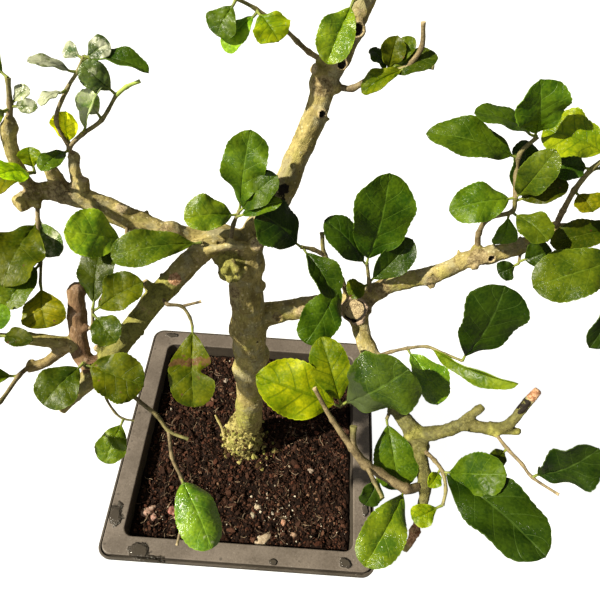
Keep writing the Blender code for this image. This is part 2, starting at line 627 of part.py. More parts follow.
def direction_of(heading, climb):
    flat = math.cos(math.radians(climb))
    return Vector((flat * math.cos(math.radians(heading)), flat * math.sin(math.radians(heading)),
                   math.sin(math.radians(climb))))


def make_leaf(name, foot, heading, climb, length, width, roll):
    """A thin closed blade on its petiole, folded a little along the midrib and bowed along its length."""
    ahead = direction_of(heading, climb)
    normal = (FACING - ahead * FACING.dot(ahead)).normalized()
    normal = Matrix.Rotation(math.radians(roll), 3, ahead) @ normal
    side = ahead.cross(normal)
    petiole = min(PETIOLE_LENGTH, length * PETIOLE_SHARE)
    rows = [(0.0, PETIOLE_WIDTH / 2, 0.0, PETIOLE_THICKNESS)]
    margin = SMALL_MARGIN if length < SMALL_LEAF else LARGE_MARGIN
    for share, half, wave in margin:
        along = petiole + (length - petiole) * share
        thickness = BLADE_FOOT_THICKNESS if share == 0.0 else BLADE
        rows.append((along, max(half * width / 2, PETIOLE_WIDTH / 2), wave * width * LEAF_WAVE, thickness))
    top, bottom = [], []
    for along, half, wave, thickness in rows:
        bow = LEAF_BOW * length * math.sin(math.pi * along / length)
        centre = Vector(foot) + ahead * along + normal * bow
        lift = normal * (half * LEAF_FOLD + wave)
        lifted = [centre - side * half + lift, centre, centre + side * half + lift]
        top.append([point + normal * thickness / 2 for point in lifted])
        bottom.append([point - normal * thickness / 2 for point in lifted])
    tip = Vector(foot) + ahead * length
    return blade_mesh(name, top, bottom, tip + normal * BLADE / 2, tip - normal * BLADE / 2)


def blade_mesh(name, top, bottom, tip_top, tip_bottom):
    """Close two alike faces, three points to a row, with a rim and a tip."""
    rows = len(top)
    vertices = [point * MM for row in top for point in row] + [point * MM for row in bottom for point in row]
    vertices += [tip_top * MM, tip_bottom * MM]
    under = rows * 3
    tip_a, tip_b = under * 2, under * 2 + 1
    faces = []
    for i in range(rows - 1):
        for k in range(2):
            a, b = 3 * i + k, 3 * i + k + 1
            c, d = a + 3, b + 3
            for face in ((a, b, d), (a, d, c)):
                faces.append(face)
                faces.append(tuple(under + index for index in reversed(face)))
        for edge, flip in ((0, False), (2, True)):
            a, b = 3 * i + edge, 3 * i + 3 + edge
            quad = [a, b, under + b, under + a]
            faces += triangles(quad, flip)
    last = 3 * (rows - 1)
    faces += [(last, last + 1, tip_a), (last + 1, last + 2, tip_a)]
    faces += [(under + last + 1, under + last, tip_b), (under + last + 2, under + last + 1, tip_b)]
    faces += triangles([last, tip_a, tip_b, under + last], False)
    faces += triangles([last + 2, tip_a, tip_b, under + last + 2], True)
    for k in range(2):
        faces += triangles([k + 1, k, under + k, under + k + 1], False)
    return mesh_object(name, vertices, faces)


def triangles(quad, flip):
    a, b, c, d = reversed(quad) if flip else quad
    return [(a, b, c), (a, c, d)]


def leaf_foot(route, index, before):
    """Leaves stand alternately: each further one at a point sits a little lower on the twig."""
    node = Vector(route[index])
    below = (Vector(route[index - 1]) - node).normalized()
    return node + below * LEAF_STEP * before


def make_spray(name, radius, twigs, leaves):
    pieces = []
    for order, (key, route) in enumerate(twigs.items()):
        points = [Vector(point) for point in route]
        if key == "a":
            ahead = (points[1] - points[0]).normalized()
            points[0] = points[0] + ahead * (socket_length(route) + GAP)
        thick = radius if key == "a" else radius * SIDE_TWIG
        places = [(point, thick * (1 - TWIG_TAPER * i / len(points))) for i, point in enumerate(points)]
        pieces.append(tube("twig_" + key, places, TWIG_SIDES, SIDE_TWIG_TURN * order))
    for i, (key, index, heading, climb, length, width, roll) in enumerate(leaves):
        before = sum(1 for other in leaves[:i] if other[:2] == (key, index))
        foot = leaf_foot(twigs[key], index, before)
        pieces.append(make_leaf("leaf_%d" % i, foot, heading, climb, length, width, roll))
    spray = fuse(name, pieces)
    dress(spray, finish_material(name + "_green", LEAF_COLOR, LEAF_ROUGHNESS))
    return spray


def main():
    clear_scene()
    make_pot()
    make_soil()
    make_wood()
    for spray in SPRAYS:
        make_spray(*spray)


main()
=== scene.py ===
# %% [markdown]
# # A siamese rough bush bonsai in its training pot
#
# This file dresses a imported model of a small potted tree, one finish at a time.
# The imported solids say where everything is: the pot, its soil, the wood that grew
# as one, and thirty leafy sprays. Each cell takes one of them, says what it is on
# the real tree, and gives it the shape and surface that one sees from a step away.
# All lengths in the tables are millimetres, and `MM` turns them into metres.

import math
import random

import bmesh
import bpy
import numpy as np
from mathutils import Matrix, Vector, kdtree, noise


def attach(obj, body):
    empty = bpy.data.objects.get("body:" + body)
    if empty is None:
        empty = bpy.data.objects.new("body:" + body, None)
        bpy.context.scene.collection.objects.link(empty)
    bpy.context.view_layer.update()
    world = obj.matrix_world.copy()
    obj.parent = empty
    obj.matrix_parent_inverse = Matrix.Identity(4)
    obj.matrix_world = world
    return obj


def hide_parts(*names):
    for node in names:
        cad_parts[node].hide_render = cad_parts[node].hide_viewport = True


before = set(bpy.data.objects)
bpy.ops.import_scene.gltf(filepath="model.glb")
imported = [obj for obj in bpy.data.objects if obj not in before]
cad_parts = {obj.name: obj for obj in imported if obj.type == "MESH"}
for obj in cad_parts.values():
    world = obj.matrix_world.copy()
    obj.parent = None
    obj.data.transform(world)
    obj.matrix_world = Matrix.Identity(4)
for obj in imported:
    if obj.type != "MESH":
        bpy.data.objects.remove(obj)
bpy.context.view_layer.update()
MM = 0.001
print("packed solids:", len(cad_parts))

# %% [markdown]
# ## Camera
#
# The photograph looks down on the pot from a little above the crown. The pot's rim
# is a square of known width, so its four corners in the picture fix the camera: how
# far round it stands, how steeply it looks down, how far away it is and how much it
# is tilted. The same numbers, written as a lens and a place, give the same view here.

# %% Camera
POT_WIDTH = 150.0
RIM_HEIGHT = 65.0
VIEW_TURN, VIEW_CLIMB, VIEW_ROLL = math.radians(0.5), math.radians(51.55), math.radians(3.6)
VIEW_TARGET = Vector((0.16 * POT_WIDTH, 0.7255 * POT_WIDTH, RIM_HEIGHT))
VIEW_DISTANCE = 2.78 * POT_WIDTH
FOCAL_PIXELS, FRAME_PIXELS, FILM_WIDTH = 570.0, 600.0, 36.0


def make_camera():
    back = Vector((math.sin(VIEW_TURN) * math.cos(VIEW_CLIMB),
                   -math.cos(VIEW_TURN) * math.cos(VIEW_CLIMB), math.sin(VIEW_CLIMB)))
    level = Vector((math.cos(VIEW_TURN), math.sin(VIEW_TURN), 0.0))
    above = back.cross(level)
    right = level * math.cos(VIEW_ROLL) + above * math.sin(VIEW_ROLL)
    up = above * math.cos(VIEW_ROLL) - level * math.sin(VIEW_ROLL)
    place = Matrix((right, up, back)).transposed().to_4x4()
    place.translation = (VIEW_TARGET + back * VIEW_DISTANCE) * MM
    lens = bpy.data.cameras.new("photo_view")
    lens.sensor_width = FILM_WIDTH
    lens.lens = FILM_WIDTH * FOCAL_PIXELS / FRAME_PIXELS
    lens.clip_start = 0.01
    camera = bpy.data.objects.new("photo_view", lens)
    camera.matrix_world = place
    bpy.context.scene.collection.objects.link(camera)
    bpy.context.scene.camera = camera
    return camera


camera = make_camera()
print("camera stands at", [round(value * 1000) for value in camera.location], "mm")

# %% [markdown]
# ## Nodes by name
#
# Every finish below is a small network of nodes. These helpers add one node, fill
# its sockets and hand back its output as a `Flow`. Flows can be added, multiplied
# and so on, which adds the nodes for it, so that a network reads like a sum. A colour
# is written as red, green and blue, in the linear values that the renderer uses.

# %% Helpers for node networks
class Flow:
    """One output of a node. Reckoning with it adds a maths node to its network."""

    def __init__(self, tree, socket):
        self.tree, self.socket = tree, socket

    def __add__(self, other):
        return maths("ADD", self, other)

    def __radd__(self, other):
        return maths("ADD", other, self)

    def __sub__(self, other):
        return maths("SUBTRACT", self, other)

    def __rsub__(self, other):
        return maths("SUBTRACT", other, self)

    def __mul__(self, other):
        return maths("MULTIPLY", self, other)

    def __truediv__(self, other):
        return maths("DIVIDE", self, other)

    def __pow__(self, other):
        return maths("POWER", self, other)

    def __abs__(self):
        return maths("ABSOLUTE", self)


def feed(tree, socket, value):
    """Join an output to a socket, or set the socket's own value."""
    if isinstance(value, (Flow, bpy.types.NodeSocket)):
        tree.links.new(getattr(value, "socket", value), socket)
    else:
        socket.default_value = (*value, 1.0) if socket.type == "RGBA" else value


def add_node(tree, kind, sockets=None, **settings):
    """Add a node, set its properties, and feed its sockets."""
    made = tree.nodes.new(kind)
    for name, value in settings.items():
        setattr(made, name, value)
    for key, value in (sockets or {}).items():
        feed(tree, made.inputs[key], value)
    return made


def flow_of(tree, kind, sockets=None, output=0, **settings):
    """Add a node and hand back one of its outputs."""
    return Flow(tree, add_node(tree, kind, sockets, **settings).outputs[output])


def reckon(kind, sockets, output=0, **settings):
    """Add a node to the network that its inputs come from, and hand back one of its outputs."""
    tree = next(value.tree for value in sockets.values() if isinstance(value, Flow))
    return flow_of(tree, kind, sockets, output, **settings)


def maths(operation, *values):
    return reckon("ShaderNodeMath", dict(enumerate(values)), operation=operation)


def vector_maths(operation, *values):
    return reckon("ShaderNodeVectorMath", dict(enumerate(values)), operation=operation)


def scaled(vector, factor):
    return reckon("ShaderNodeVectorMath", {0: vector, "Scale": factor}, operation="SCALE")


def parts_of(vector):
    """The x, y and z of a vector."""
    parts = add_node(vector.tree, "ShaderNodeSeparateXYZ", {0: vector}).outputs
    return [Flow(vector.tree, part) for part in parts]


def fade(value, start, end, low=0.0, high=1.0):
    """A soft step from low to high as the value goes from start to end."""
    sockets = {"Value": value, "From Min": start, "From Max": end, "To Min": low, "To Max": high}
    return reckon("ShaderNodeMapRange", sockets, interpolation_type="SMOOTHSTEP")


def mix_colors(share, first, second, blend_type="MIX"):
    sockets = {0: share, 6: first, 7: second}
    return reckon("ShaderNodeMix", sockets, 2, data_type="RGBA", blend_type=blend_type)


def times(color, red, green, blue):
    return mix_colors(1.0, color, (red, green, blue), "MULTIPLY")


def noise_of(place, size, detail=3.0, roughness=0.55):
    """Cloudy noise between 0 and 1 whose blobs are about size millimetres across."""
    sockets = {"Vector": place, "Scale": 1.0 / (size * MM), "Detail": detail, "Roughness": roughness}
    return reckon("ShaderNodeTexNoise", sockets)


def net_of(place, size):
    """How far a place is from the nearest line of a net with meshes size millimetres across."""
    sockets = {"Vector": place, "Scale": 1.0 / (size * MM)}
    return reckon("ShaderNodeTexVoronoi", sockets, "Distance", feature="DISTANCE_TO_EDGE")


def place_of(tree):
    return flow_of(tree, "ShaderNodeTexCoord", output="Object")


def attribute_of(tree, name, output="Fac"):
    return flow_of(tree, "ShaderNodeAttribute", output=output, attribute_name=name)


def new_material(name):
    """A material with an empty network but for its Principled shader and its output."""
    material = bpy.data.materials.new(name)
    material.use_nodes = True
    return material, material.node_tree, material.node_tree.nodes["Principled BSDF"]


def connect(tree, shader, **sockets):
    """Feed a shader's sockets: Base_Color stands for Base Color."""
    for name, value in sockets.items():
        feed(tree, shader.inputs[name.replace("_", " ")], value)


def bump_of(height, distance, strength=1.0):
    """A normal that rises and falls by distance millimetres with the height."""
    sockets = {"Height": height, "Distance": distance * MM, "Strength": strength}
    return reckon("ShaderNodeBump", sockets, "Normal")


def new_inputs(tree, kind, **values):
    """Give a node tree named inputs of one kind, and their first values."""
    for name, value in values.items():
        made = tree.interface.new_socket(name.replace("_", " "), in_out="INPUT",
                                         socket_type="NodeSocket" + kind)
        if value is not None:
            made.default_value = value


def inputs_of(tree):
    """The named inputs of a node tree."""
    return {socket.name: Flow(tree, socket) for socket in tree.nodes.new("NodeGroupInput").outputs}


def put_out(tree, value):
    """Join a result to the tree's one output."""
    feed(tree, tree.nodes.new("NodeGroupOutput").inputs[0], value)
    return tree


# %% [markdown]
# ## Shared effects
#
# Two effects come back in nearly every finish here. Nothing that grows or lies
# outdoors has an even colour, so `mottle` breaks a surface into soft lighter and
# darker patches at two sizes. And dust, pores, rust spots and lichen are all small
# separate dots, so `flecks` makes dots of one size, and a share says how many show.
# Each is a node group, built once, with named inputs.

# %% Shader groups for mottling and flecks
def new_group(name, **sizes):
    """An empty shader group that takes a place and named sizes, and puts out a mask."""
    group = bpy.data.node_groups.new(name, "ShaderNodeTree")
    new_inputs(group, "Vector", Place=None)
    new_inputs(group, "Float", **sizes)
    group.interface.new_socket("Mask", in_out="OUTPUT", socket_type="NodeSocketFloat")
    return group, inputs_of(group)


def make_mottle():
    group, start = new_group("mottle", Patches_per_metre=100.0, Grains_per_metre=900.0)
    sizes = (("Patches per metre", 3.0), ("Grains per metre", 2.0))
    patches, grains = [reckon("ShaderNodeTexNoise", {"Vector": start["Place"], "Scale": start[scale],
                                                     "Detail": detail}) for scale, detail in sizes]
    return put_out(group, fade(patches * 0.65 + grains * 0.35, 0.32, 0.68))


def make_flecks():
    group, start = new_group("flecks", Flecks_per_metre=400.0, Share=0.2, Radius=0.3)
    sockets = {"Vector": start["Place"], "Scale": start["Flecks per metre"]}
    cells = add_node(group, "ShaderNodeTexVoronoi", sockets).outputs
    draw = flow_of(group, "ShaderNodeSeparateColor", {0: cells["Color"]})
    dot = fade(Flow(group, cells["Distance"]), start["Radius"] * 0.6, start["Radius"], 1.0, 0.0)
    return put_out(group, dot * maths("LESS_THAN", draw, start["Share"]))


MOTTLE = make_mottle()
FLECKS = make_flecks()


def use_group(group, **sockets):
    """Place a shared effect in a network, with its own values, and hand back its mask."""
    made = add_node(sockets["Place"].tree, "ShaderNodeGroup", node_tree=group)
    connect(sockets["Place"].tree, made, **sockets)
    return Flow(sockets["Place"].tree, made.outputs[0])


def mottle(place, patch, grain):
    """Mottling with patches and grains of the given sizes in millimetres."""
    return use_group(MOTTLE, Place=place, Patches_per_metre=1.0 / (patch * MM),
                     Grains_per_metre=1.0 / (grain * MM))


def flecks(place, spacing, share, radius):
    """Dots about spacing millimetres apart, of which a share shows; the radius is a share of the spacing."""
    return use_group(FLECKS, Place=place, Flecks_per_metre=1.0 / (spacing * MM), Share=share, Radius=radius)


print("shared effects:", MOTTLE.name, "and", FLECKS.name)

# %% [markdown]
# ## Floor and light
#
# The tree was photographed in strong sun that comes from its left, against plain
# white. A small bright sun gives the crisp shadows under the crown and the glow of
# the leaves that it shines through. A dim even sky keeps the shaded bark
# readable, and a soft panel low on the left at the front shapes the parts that
# the crown shades. Floor and sky look pale to the camera alone and throw little
# light on the tree, because a white floor would wash out every shadow on it.

# %% Floor, sky and lamps
SUN_FROM = Vector((-0.70, -0.25, 0.67)).normalized()
SUN_STRENGTH = 6.8
SUN_SPREAD = 1.2
SUN_COLOR = (1.0, 0.93, 0.76)
SKY_STRENGTH = 0.17
BACKDROP_STRENGTH = 0.93
PANEL_AT = Vector((-0.50, -0.62, 0.42))
PANEL_AIM = Vector((0.02, 0.0, 0.2))
PANEL_WIDTH = 0.6
PANEL_POWER = 1.3
FLOOR_WIDTH = 6.0
FLOOR_GLOW = 0.96


def pale_floor():
    """Pale where the camera sees it, and dull for the light that it throws back on the tree."""
    material, tree, shader = new_material("pale_floor")
    seen = flow_of(tree, "ShaderNodeLightPath", output="Is Camera Ray")
    color = mix_colors(seen, (0.16, 0.16, 0.15), (0.3, 0.3, 0.29))
    connect(tree, shader, Base_Color=color, Roughness=0.9, Emission_Color=(1.0, 1.0, 0.99),
            Emission_Strength=seen * FLOOR_GLOW)
    return material


def make_floor():
    builder = bmesh.new()
    bmesh.ops.create_grid(builder, x_segments=1, y_segments=1, size=FLOOR_WIDTH / 2)
    mesh = bpy.data.meshes.new("floor")
    builder.to_mesh(mesh)
    builder.free()
    floor = bpy.data.objects.new("floor", mesh)
    bpy.context.scene.collection.objects.link(floor)
    mesh.materials.append(pale_floor())
    return floor


def make_sky():
    world = bpy.data.worlds.new("plain_sky")
    world.use_nodes = True
    tree = world.node_tree
    seen = flow_of(tree, "ShaderNodeLightPath", output="Is Camera Ray")
    connect(tree, tree.nodes["Background"], Color=(1.0, 0.98, 0.92),
            Strength=fade(seen, 0.0, 1.0, SKY_STRENGTH, BACKDROP_STRENGTH))
    bpy.context.scene.world = world


def make_lamp(name, kind, turned_to):
    lamp = bpy.data.lights.new(name, kind)
    holder = bpy.data.objects.new(name, lamp)
    holder.rotation_euler = turned_to.to_track_quat("Z", "Y").to_euler()
    bpy.context.scene.collection.objects.link(holder)
    return holder, lamp


floor = make_floor()
make_sky()
sun_holder, sun = make_lamp("low_sun", "SUN", SUN_FROM)
sun.energy = SUN_STRENGTH
sun.angle = math.radians(SUN_SPREAD)
sun.color = SUN_COLOR
panel_holder, panel = make_lamp("soft_panel", "AREA", PANEL_AT - PANEL_AIM)
panel_holder.location = PANEL_AT
panel.size = PANEL_WIDTH
panel.energy = PANEL_POWER
bpy.context.scene.view_settings.view_transform = "Standard"
print("lamps:", sun.name, "and", panel.name)

# %% [markdown]
# ## Meshes from lists of points
#
# Most pieces below are made in code as points and faces. A loft joins rings of
# points; a tube is a loft along a route. Both are plain lists, so several of them
# can be poured into one mesh.

# %% Helpers for meshes
def piece_from(name, points, faces):
    """An object whose points are given in metres."""
    mesh = bpy.data.meshes.new(name)
    mesh.from_pydata([tuple(point) for point in points], [], faces)
    mesh.update()
    piece = bpy.data.objects.new(name, mesh)
    bpy.context.scene.collection.objects.link(piece)
    return piece


def loft_faces(rings, count):
    """Quads between rings of count points each, with a flat face over each end."""
    faces = [list(range(count))[::-1]]
    for level in range(rings - 1):
        low, high = level * count, (level + 1) * count
        faces += [[low + i, low + (i + 1) % count, high + (i + 1) % count, high + i] for i in range(count)]
    faces.append([(rings - 1) * count + i for i in range(count)])
    return faces


def applied(piece):
    """Turn what a piece's modifiers make of it into its plain mesh."""
    graph = bpy.context.evaluated_depsgraph_get()
    mesh = bpy.data.meshes.new_from_object(piece.evaluated_get(graph), preserve_all_data_layers=True,
                                           depsgraph=graph)
    piece.modifiers.clear()
    piece.data = mesh
    mesh.name = piece.name
    return piece


def finish_piece(piece, slot, *nodes):
    """Every finished piece rides on the one body and hides the imported solids it stands for; its slot is not
    used.
    """
    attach(piece, "root")
    if nodes:
        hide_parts(*nodes)
    faces = sum(len(face.vertices) - 2 for face in piece.data.polygons)
    print(piece.name, "has", faces, "triangles")


def keep_values(mesh, name, values):
    """Keep a number on each point of a mesh under a name, for trees and materials to read."""
    layer = mesh.attributes.get(name) or mesh.attributes.new(name, "FLOAT", "POINT")
    layer.data.foreach_set("value", np.asarray(values, dtype=np.float32))


def smoothed(piece, angle):
    piece.data.shade_smooth()
    piece.data.set_sharp_from_angle(angle=math.radians(angle))


# %% [markdown]
# ## The pot
#
# The pot is one thin moulding of grey-brown plastic: tapered walls, and a wide flat
# rim whose lip hangs outside the wall. A narrow ledge runs round the lip, and a fine
# slot parts the ledge from the rim's top face. A moulding has no sharp edge, so the
# profile below is drawn with corner radii, and swept round a square with rounded
# corners. The four drain holes are cut through the base afterwards.

# %% Pot shape
BASE_WIDTH, RIM_WIDTH, LIP_HEIGHT, WALL, BASE_THICKNESS = 116.0, 12.0, 5.0, 3.0, 3.0
OPENING = POT_WIDTH - 2 * RIM_WIDTH
OUTER_CORNER, INNER_CORNER = 7.0, 5.0
CORNER_STEPS, EDGE_STEPS = 8, 4
DRAIN_RADIUS, DRAIN_OFFSET = 5.0, 32.0
UNDER_RIM = RIM_HEIGHT - LIP_HEIGHT
LEDGE, LEDGE_DROP, SLOT_WIDTH, SLOT_DEPTH = 2.0, 1.5, 0.8, 1.5

# Half width, height, the square's corner radius and the radius of the edge itself
POT_PROFILE = [
    (BASE_WIDTH / 2, 0.0, OUTER_CORNER, 1.2),
    (OPENING / 2 + WALL, UNDER_RIM, OUTER_CORNER, 0.5),
    (POT_WIDTH / 2 - 0.2, UNDER_RIM, OUTER_CORNER, 0.5),
    (POT_WIDTH / 2, RIM_HEIGHT - LEDGE_DROP, OUTER_CORNER, 0.5),
    (POT_WIDTH / 2 - LEDGE + SLOT_WIDTH, RIM_HEIGHT - LEDGE_DROP, OUTER_CORNER - 1.0, 0.15),
    (POT_WIDTH / 2 - LEDGE + SLOT_WIDTH - 0.1, RIM_HEIGHT - LEDGE_DROP - SLOT_DEPTH, OUTER_CORNER - 1.0, 0.1),
    (POT_WIDTH / 2 - LEDGE + 0.1, RIM_HEIGHT - LEDGE_DROP - SLOT_DEPTH, OUTER_CORNER - 1.5, 0.1),
    (POT_WIDTH / 2 - LEDGE, RIM_HEIGHT, OUTER_CORNER - 1.5, 0.6),
    (OPENING / 2, RIM_HEIGHT, INNER_CORNER, 0.8),
    (OPENING / 2 - 0.3, UNDER_RIM, INNER_CORNER, 0.0),
    (BASE_WIDTH / 2 - WALL, BASE_THICKNESS, INNER_CORNER, 1.0),
]


def square_ring(half, corner, height, steps=CORNER_STEPS):
    """Points round a square with rounded corners, counter-clockwise seen from above."""
    ring = []
    for quarter in range(4):
        middle = math.radians(45 + 90 * quarter)
        centre_x = math.copysign(half - corner, math.cos(middle))
        centre_y = math.copysign(half - corner, math.sin(middle))
        for step in range(steps + 1):
            angle = math.radians(90 * quarter + 90 * step / steps)
            ring.append(Vector((centre_x + corner * math.cos(angle), centre_y + corner * math.sin(angle),
                                height)) * MM)
    return ring


def rounded_profile(profile):
    """Replace each edge by a short curve that starts and ends its radius away from it."""
    smooth = []
    for i, (half, height, corner, radius) in enumerate(profile):
        here = Vector((half, height, corner))
        if radius == 0.0:
            smooth.append(here)
            continue
        before = Vector(profile[i - 1][:3]) if i else Vector((half - 5.0, height, corner))
        after = Vector(profile[i + 1][:3]) if i + 1 < len(profile) else Vector((half - 5.0, height, corner))
        start = here + (before - here).normalized() * min(radius, (before - here).length * 0.45)
        end = here + (after - here).normalized() * min(radius, (after - here).length * 0.45)
        for step in range(EDGE_STEPS + 1):
            t = step / EDGE_STEPS
            smooth.append(start * (1 - t) ** 2 + here * 2 * t * (1 - t) + end * t * t)
    return smooth


def drill(piece, x, y):
    builder = bmesh.new()
    bmesh.ops.create_cone(builder, cap_ends=True, segments=24, radius1=DRAIN_RADIUS * MM,
                          radius2=DRAIN_RADIUS * MM, depth=4 * BASE_THICKNESS * MM,
                          matrix=Matrix.Translation((x * MM, y * MM, 0.0)))
    mesh = bpy.data.meshes.new("drill")
    builder.to_mesh(mesh)
    builder.free()
    cutter = bpy.data.objects.new("drill", mesh)
    bpy.context.scene.collection.objects.link(cutter)
    hole = piece.modifiers.new("Drain", "BOOLEAN")
    hole.operation = "DIFFERENCE"
    hole.object = cutter
    applied(piece)
    bpy.data.objects.remove(cutter)


def make_pot():
    profile = rounded_profile(POT_PROFILE)
    rings = [square_ring(half, corner, height) for half, height, corner in profile]
    points = [point for ring in rings for point in ring]
    pot = piece_from("pot_shell", points, loft_faces(len(rings), len(rings[0])))
    for side_x in (-1, 1):
        for side_y in (-1, 1):
            drill(pot, side_x * DRAIN_OFFSET, side_y * DRAIN_OFFSET)
    smoothed(pot, 35)
    weighted = pot.modifiers.new("Flat faces stay flat", "WEIGHTED_NORMAL")
    weighted.keep_sharp = True
    return applied(pot)


pot = make_pot()

# %% [markdown]
# ## Dusty plastic
#
# The plastic is a warm dark grey under a film of dried dust, so its top faces look
# pale and dull, and the walls look darker. Where water was spilt on the rim the
# film has gone, and the plastic shows dark and shiny under domed water. Each patch
# is a place on the rim with a length and a width, and noise makes its edge ragged.
# Small dark drops and pale grit lie all over the rim.

# %% Pot finish
# Wet patches: x and y of the middle, half length along x and along y
WET_PATCHES = [(-69.5, -52.0, 4.2, 6.5), (-52.0, -70.5, 6.5, 4.6), (-44.5, -74.5, 7.5, 2.6),
               (59.0, -69.0, 3.6, 2.8), (70.0, -40.0, 2.0, 4.0), (-62.0, 70.0, 4.0, 2.0),
               (20.0, -71.0, 2.2, 1.4)]


def wet_masks(place):
    """One where any of the rim's wet patches lies, with a ragged edge, and how its water is domed."""
    ragged = (noise_of(place, 4.0, 4.0) - 0.5) * 1.5
    mask, dome = 0.0, 0.0
    for x, y, half_x, half_y in WET_PATCHES:
        away = vector_maths("SUBTRACT", place, (x * MM, y * MM, RIM_HEIGHT * MM))
        away = vector_maths("DIVIDE", away, (half_x * MM, half_y * MM, 4 * MM))
        distance = reckon("ShaderNodeVectorMath", {0: away}, "Value", operation="LENGTH")
        edge = distance + ragged
        mask = maths("MAXIMUM", mask, fade(edge, 1.06, 0.96))
        dome = maths("MAXIMUM", dome, fade(edge, 1.1, 0.55))
    return mask, dome


def dusty_plastic():
    material, tree, shader = new_material("dusty_plastic")
    place = place_of(tree)
    cloudy = mottle(place, 18.0, 1.2)
    height = parts_of(place)[2]
    upper = fade(height, (RIM_HEIGHT - 1.2) * MM, (RIM_HEIGHT - 0.2) * MM)
    plain = mix_colors(cloudy, (0.05, 0.041, 0.031), (0.08, 0.065, 0.05))
    dusty = mix_colors(cloudy, (0.122, 0.1, 0.082), (0.192, 0.158, 0.13))
    color = mix_colors(upper, plain, dusty)
    grimy = fade(noise_of(place, 2.2, 4.0, 0.7), 0.5, 0.7, 0.0, 0.45)
    color = mix_colors(grimy, color, (0.085, 0.066, 0.048))
    speckled = fade(noise_of(place, 0.7, 2.0, 0.8), 0.5, 0.68, 0.0, 0.4)
    color = mix_colors(speckled, color, (0.07, 0.056, 0.042))
    drops = flecks(place, 4.2, 0.16, 0.24)
    grit = flecks(place, 1.5, 0.1, 0.26)
    color = mix_colors(drops * 0.55, color, (0.026, 0.021, 0.016))
    color = mix_colors(grit * 0.4, color, (0.34, 0.3, 0.25))
    wet, dome = wet_masks(place)
    color = mix_colors(wet * 0.82, color, (0.042, 0.036, 0.028))
    dull = fade(cloudy, 0.0, 1.0, 0.42, 0.58)
    rough = dull - wet * 0.34
    fine = noise_of(place, 0.35, 2.0)
    water = dome * 22.0
    normal = bump_of(fine + water, 0.06, 1.0)
    connect(tree, shader, Base_Color=color, Roughness=rough, Normal=normal)
    return material


PLASTIC = dusty_plastic()
pot.data.materials.clear()
pot.data.materials.append(PLASTIC)
finish_piece(pot, "pot_plastic", "pot")

# %% [markdown]
# ## Scattering with Geometry Nodes
#
# Potting mix is thousands of crumbs, and a tree's foot is crusted with hundreds of
# bits of moss and lichen. One Geometry Nodes tree scatters them all: it spreads
# points over a surface, stands a small shape on each point at a random turn and
# size, and keeps a random shade for each, which the material reads. The tree is
# built once, with named inputs, and every use sets its own sizes and seed.

# %% The scatter tree
def new_tree(name, shapes, **sizes):
    """An empty Geometry Nodes tree that takes shapes, a finish and sizes, and those inputs."""
    tree = bpy.data.node_groups.new(name, "GeometryNodeTree")
    tree.interface.new_socket("Geometry", in_out="OUTPUT", socket_type="NodeSocketGeometry")
    for label, kind in shapes.items():
        new_inputs(tree, kind, **{label: None})
    new_inputs(tree, "Material", Finish=None)
    new_inputs(tree, "Float", **sizes)
    return tree, inputs_of(tree)


def random_number(low, high, seed, part):
    """A random number for each point, from low to high; part tells apart draws with one seed."""
    return reckon("FunctionNodeRandomValue", {2: low, 3: high, 8: seed + float(part)}, 1, data_type="FLOAT")


def make_scatter_tree():
    tree, start = new_tree("scatter_bits", {"Ground": "Geometry", "Bit": "Object"}, Per_square_metre=1e5,
                           Smallest=0.5, Largest=1.5, Lift=0.0, Tilt=3.14, Seed=1.0)
    seed = start["Seed"]
    cover = flow_of(tree, "GeometryNodeInputNamedAttribute", {"Name": "cover"})
    density = start["Per square metre"] * cover
    spread = add_node(tree, "GeometryNodeDistributePointsOnFaces", {"Mesh": start["Ground"],
                                                                    "Density": density, "Seed": seed})
    tilt = start["Tilt"]
    turns = flow_of(tree, "ShaderNodeCombineXYZ", {0: tilt * random_number(-1.0, 1.0, seed, 1),
                                                   1: tilt * random_number(-1.0, 1.0, seed, 2),
                                                   2: random_number(0.0, math.tau, seed, 3)})
    turned = flow_of(tree, "FunctionNodeRotateRotation", {0: spread.outputs["Rotation"], 1: turns},
                     rotation_space="LOCAL")
    share = random_number(0.0, 1.0, seed, 4) ** 2.0
    size = flow_of(tree, "ShaderNodeMapRange", {"Value": share, "To Min": start["Smallest"],
                                                "To Max": start["Largest"]})
    stretch = flow_of(tree, "ShaderNodeCombineXYZ", {0: size * random_number(0.75, 1.3, seed, 5),
                                                     1: size * random_number(0.7, 1.1, seed, 6),
                                                     2: size * random_number(0.5, 1.0, seed, 7)})
    bit = flow_of(tree, "GeometryNodeObjectInfo", {"Object": start["Bit"]}, output="Geometry")
    standing = {"Points": spread.outputs["Points"], "Instance": bit, "Rotation": turned, "Scale": stretch}
    placed = flow_of(tree, "GeometryNodeInstanceOnPoints", standing)
    shade = {"Geometry": placed, "Name": "shade", "Value": random_number(0.0, 1.0, seed, 8)}
    kept = flow_of(tree, "GeometryNodeStoreNamedAttribute", shade, data_type="FLOAT", domain="INSTANCE")
    lift = flow_of(tree, "ShaderNodeCombineXYZ", {2: start["Lift"]})
    lifted = flow_of(tree, "GeometryNodeTranslateInstances", {"Instances": kept, "Translation": lift,
                                                              "Local Space": False})
    real = flow_of(tree, "GeometryNodeRealizeInstances", {0: lifted})
    painted = flow_of(tree, "GeometryNodeSetMaterial", {"Geometry": real, "Material": start["Finish"]})
    return put_out(tree, painted)


SCATTER = make_scatter_tree()


def run_tree(piece, tree, **wanted):
    """Run a node tree on a piece with the named inputs set, and keep the result as its mesh."""
    modifier = piece.modifiers.new(tree.name, "NODES")
    modifier.node_group = tree
    for item in tree.interface.items_tree:
        if item.item_type == "SOCKET" and item.name.replace(" ", "_") in wanted:
            modifier[item.identifier] = wanted[item.name.replace(" ", "_")]
    return applied(piece)


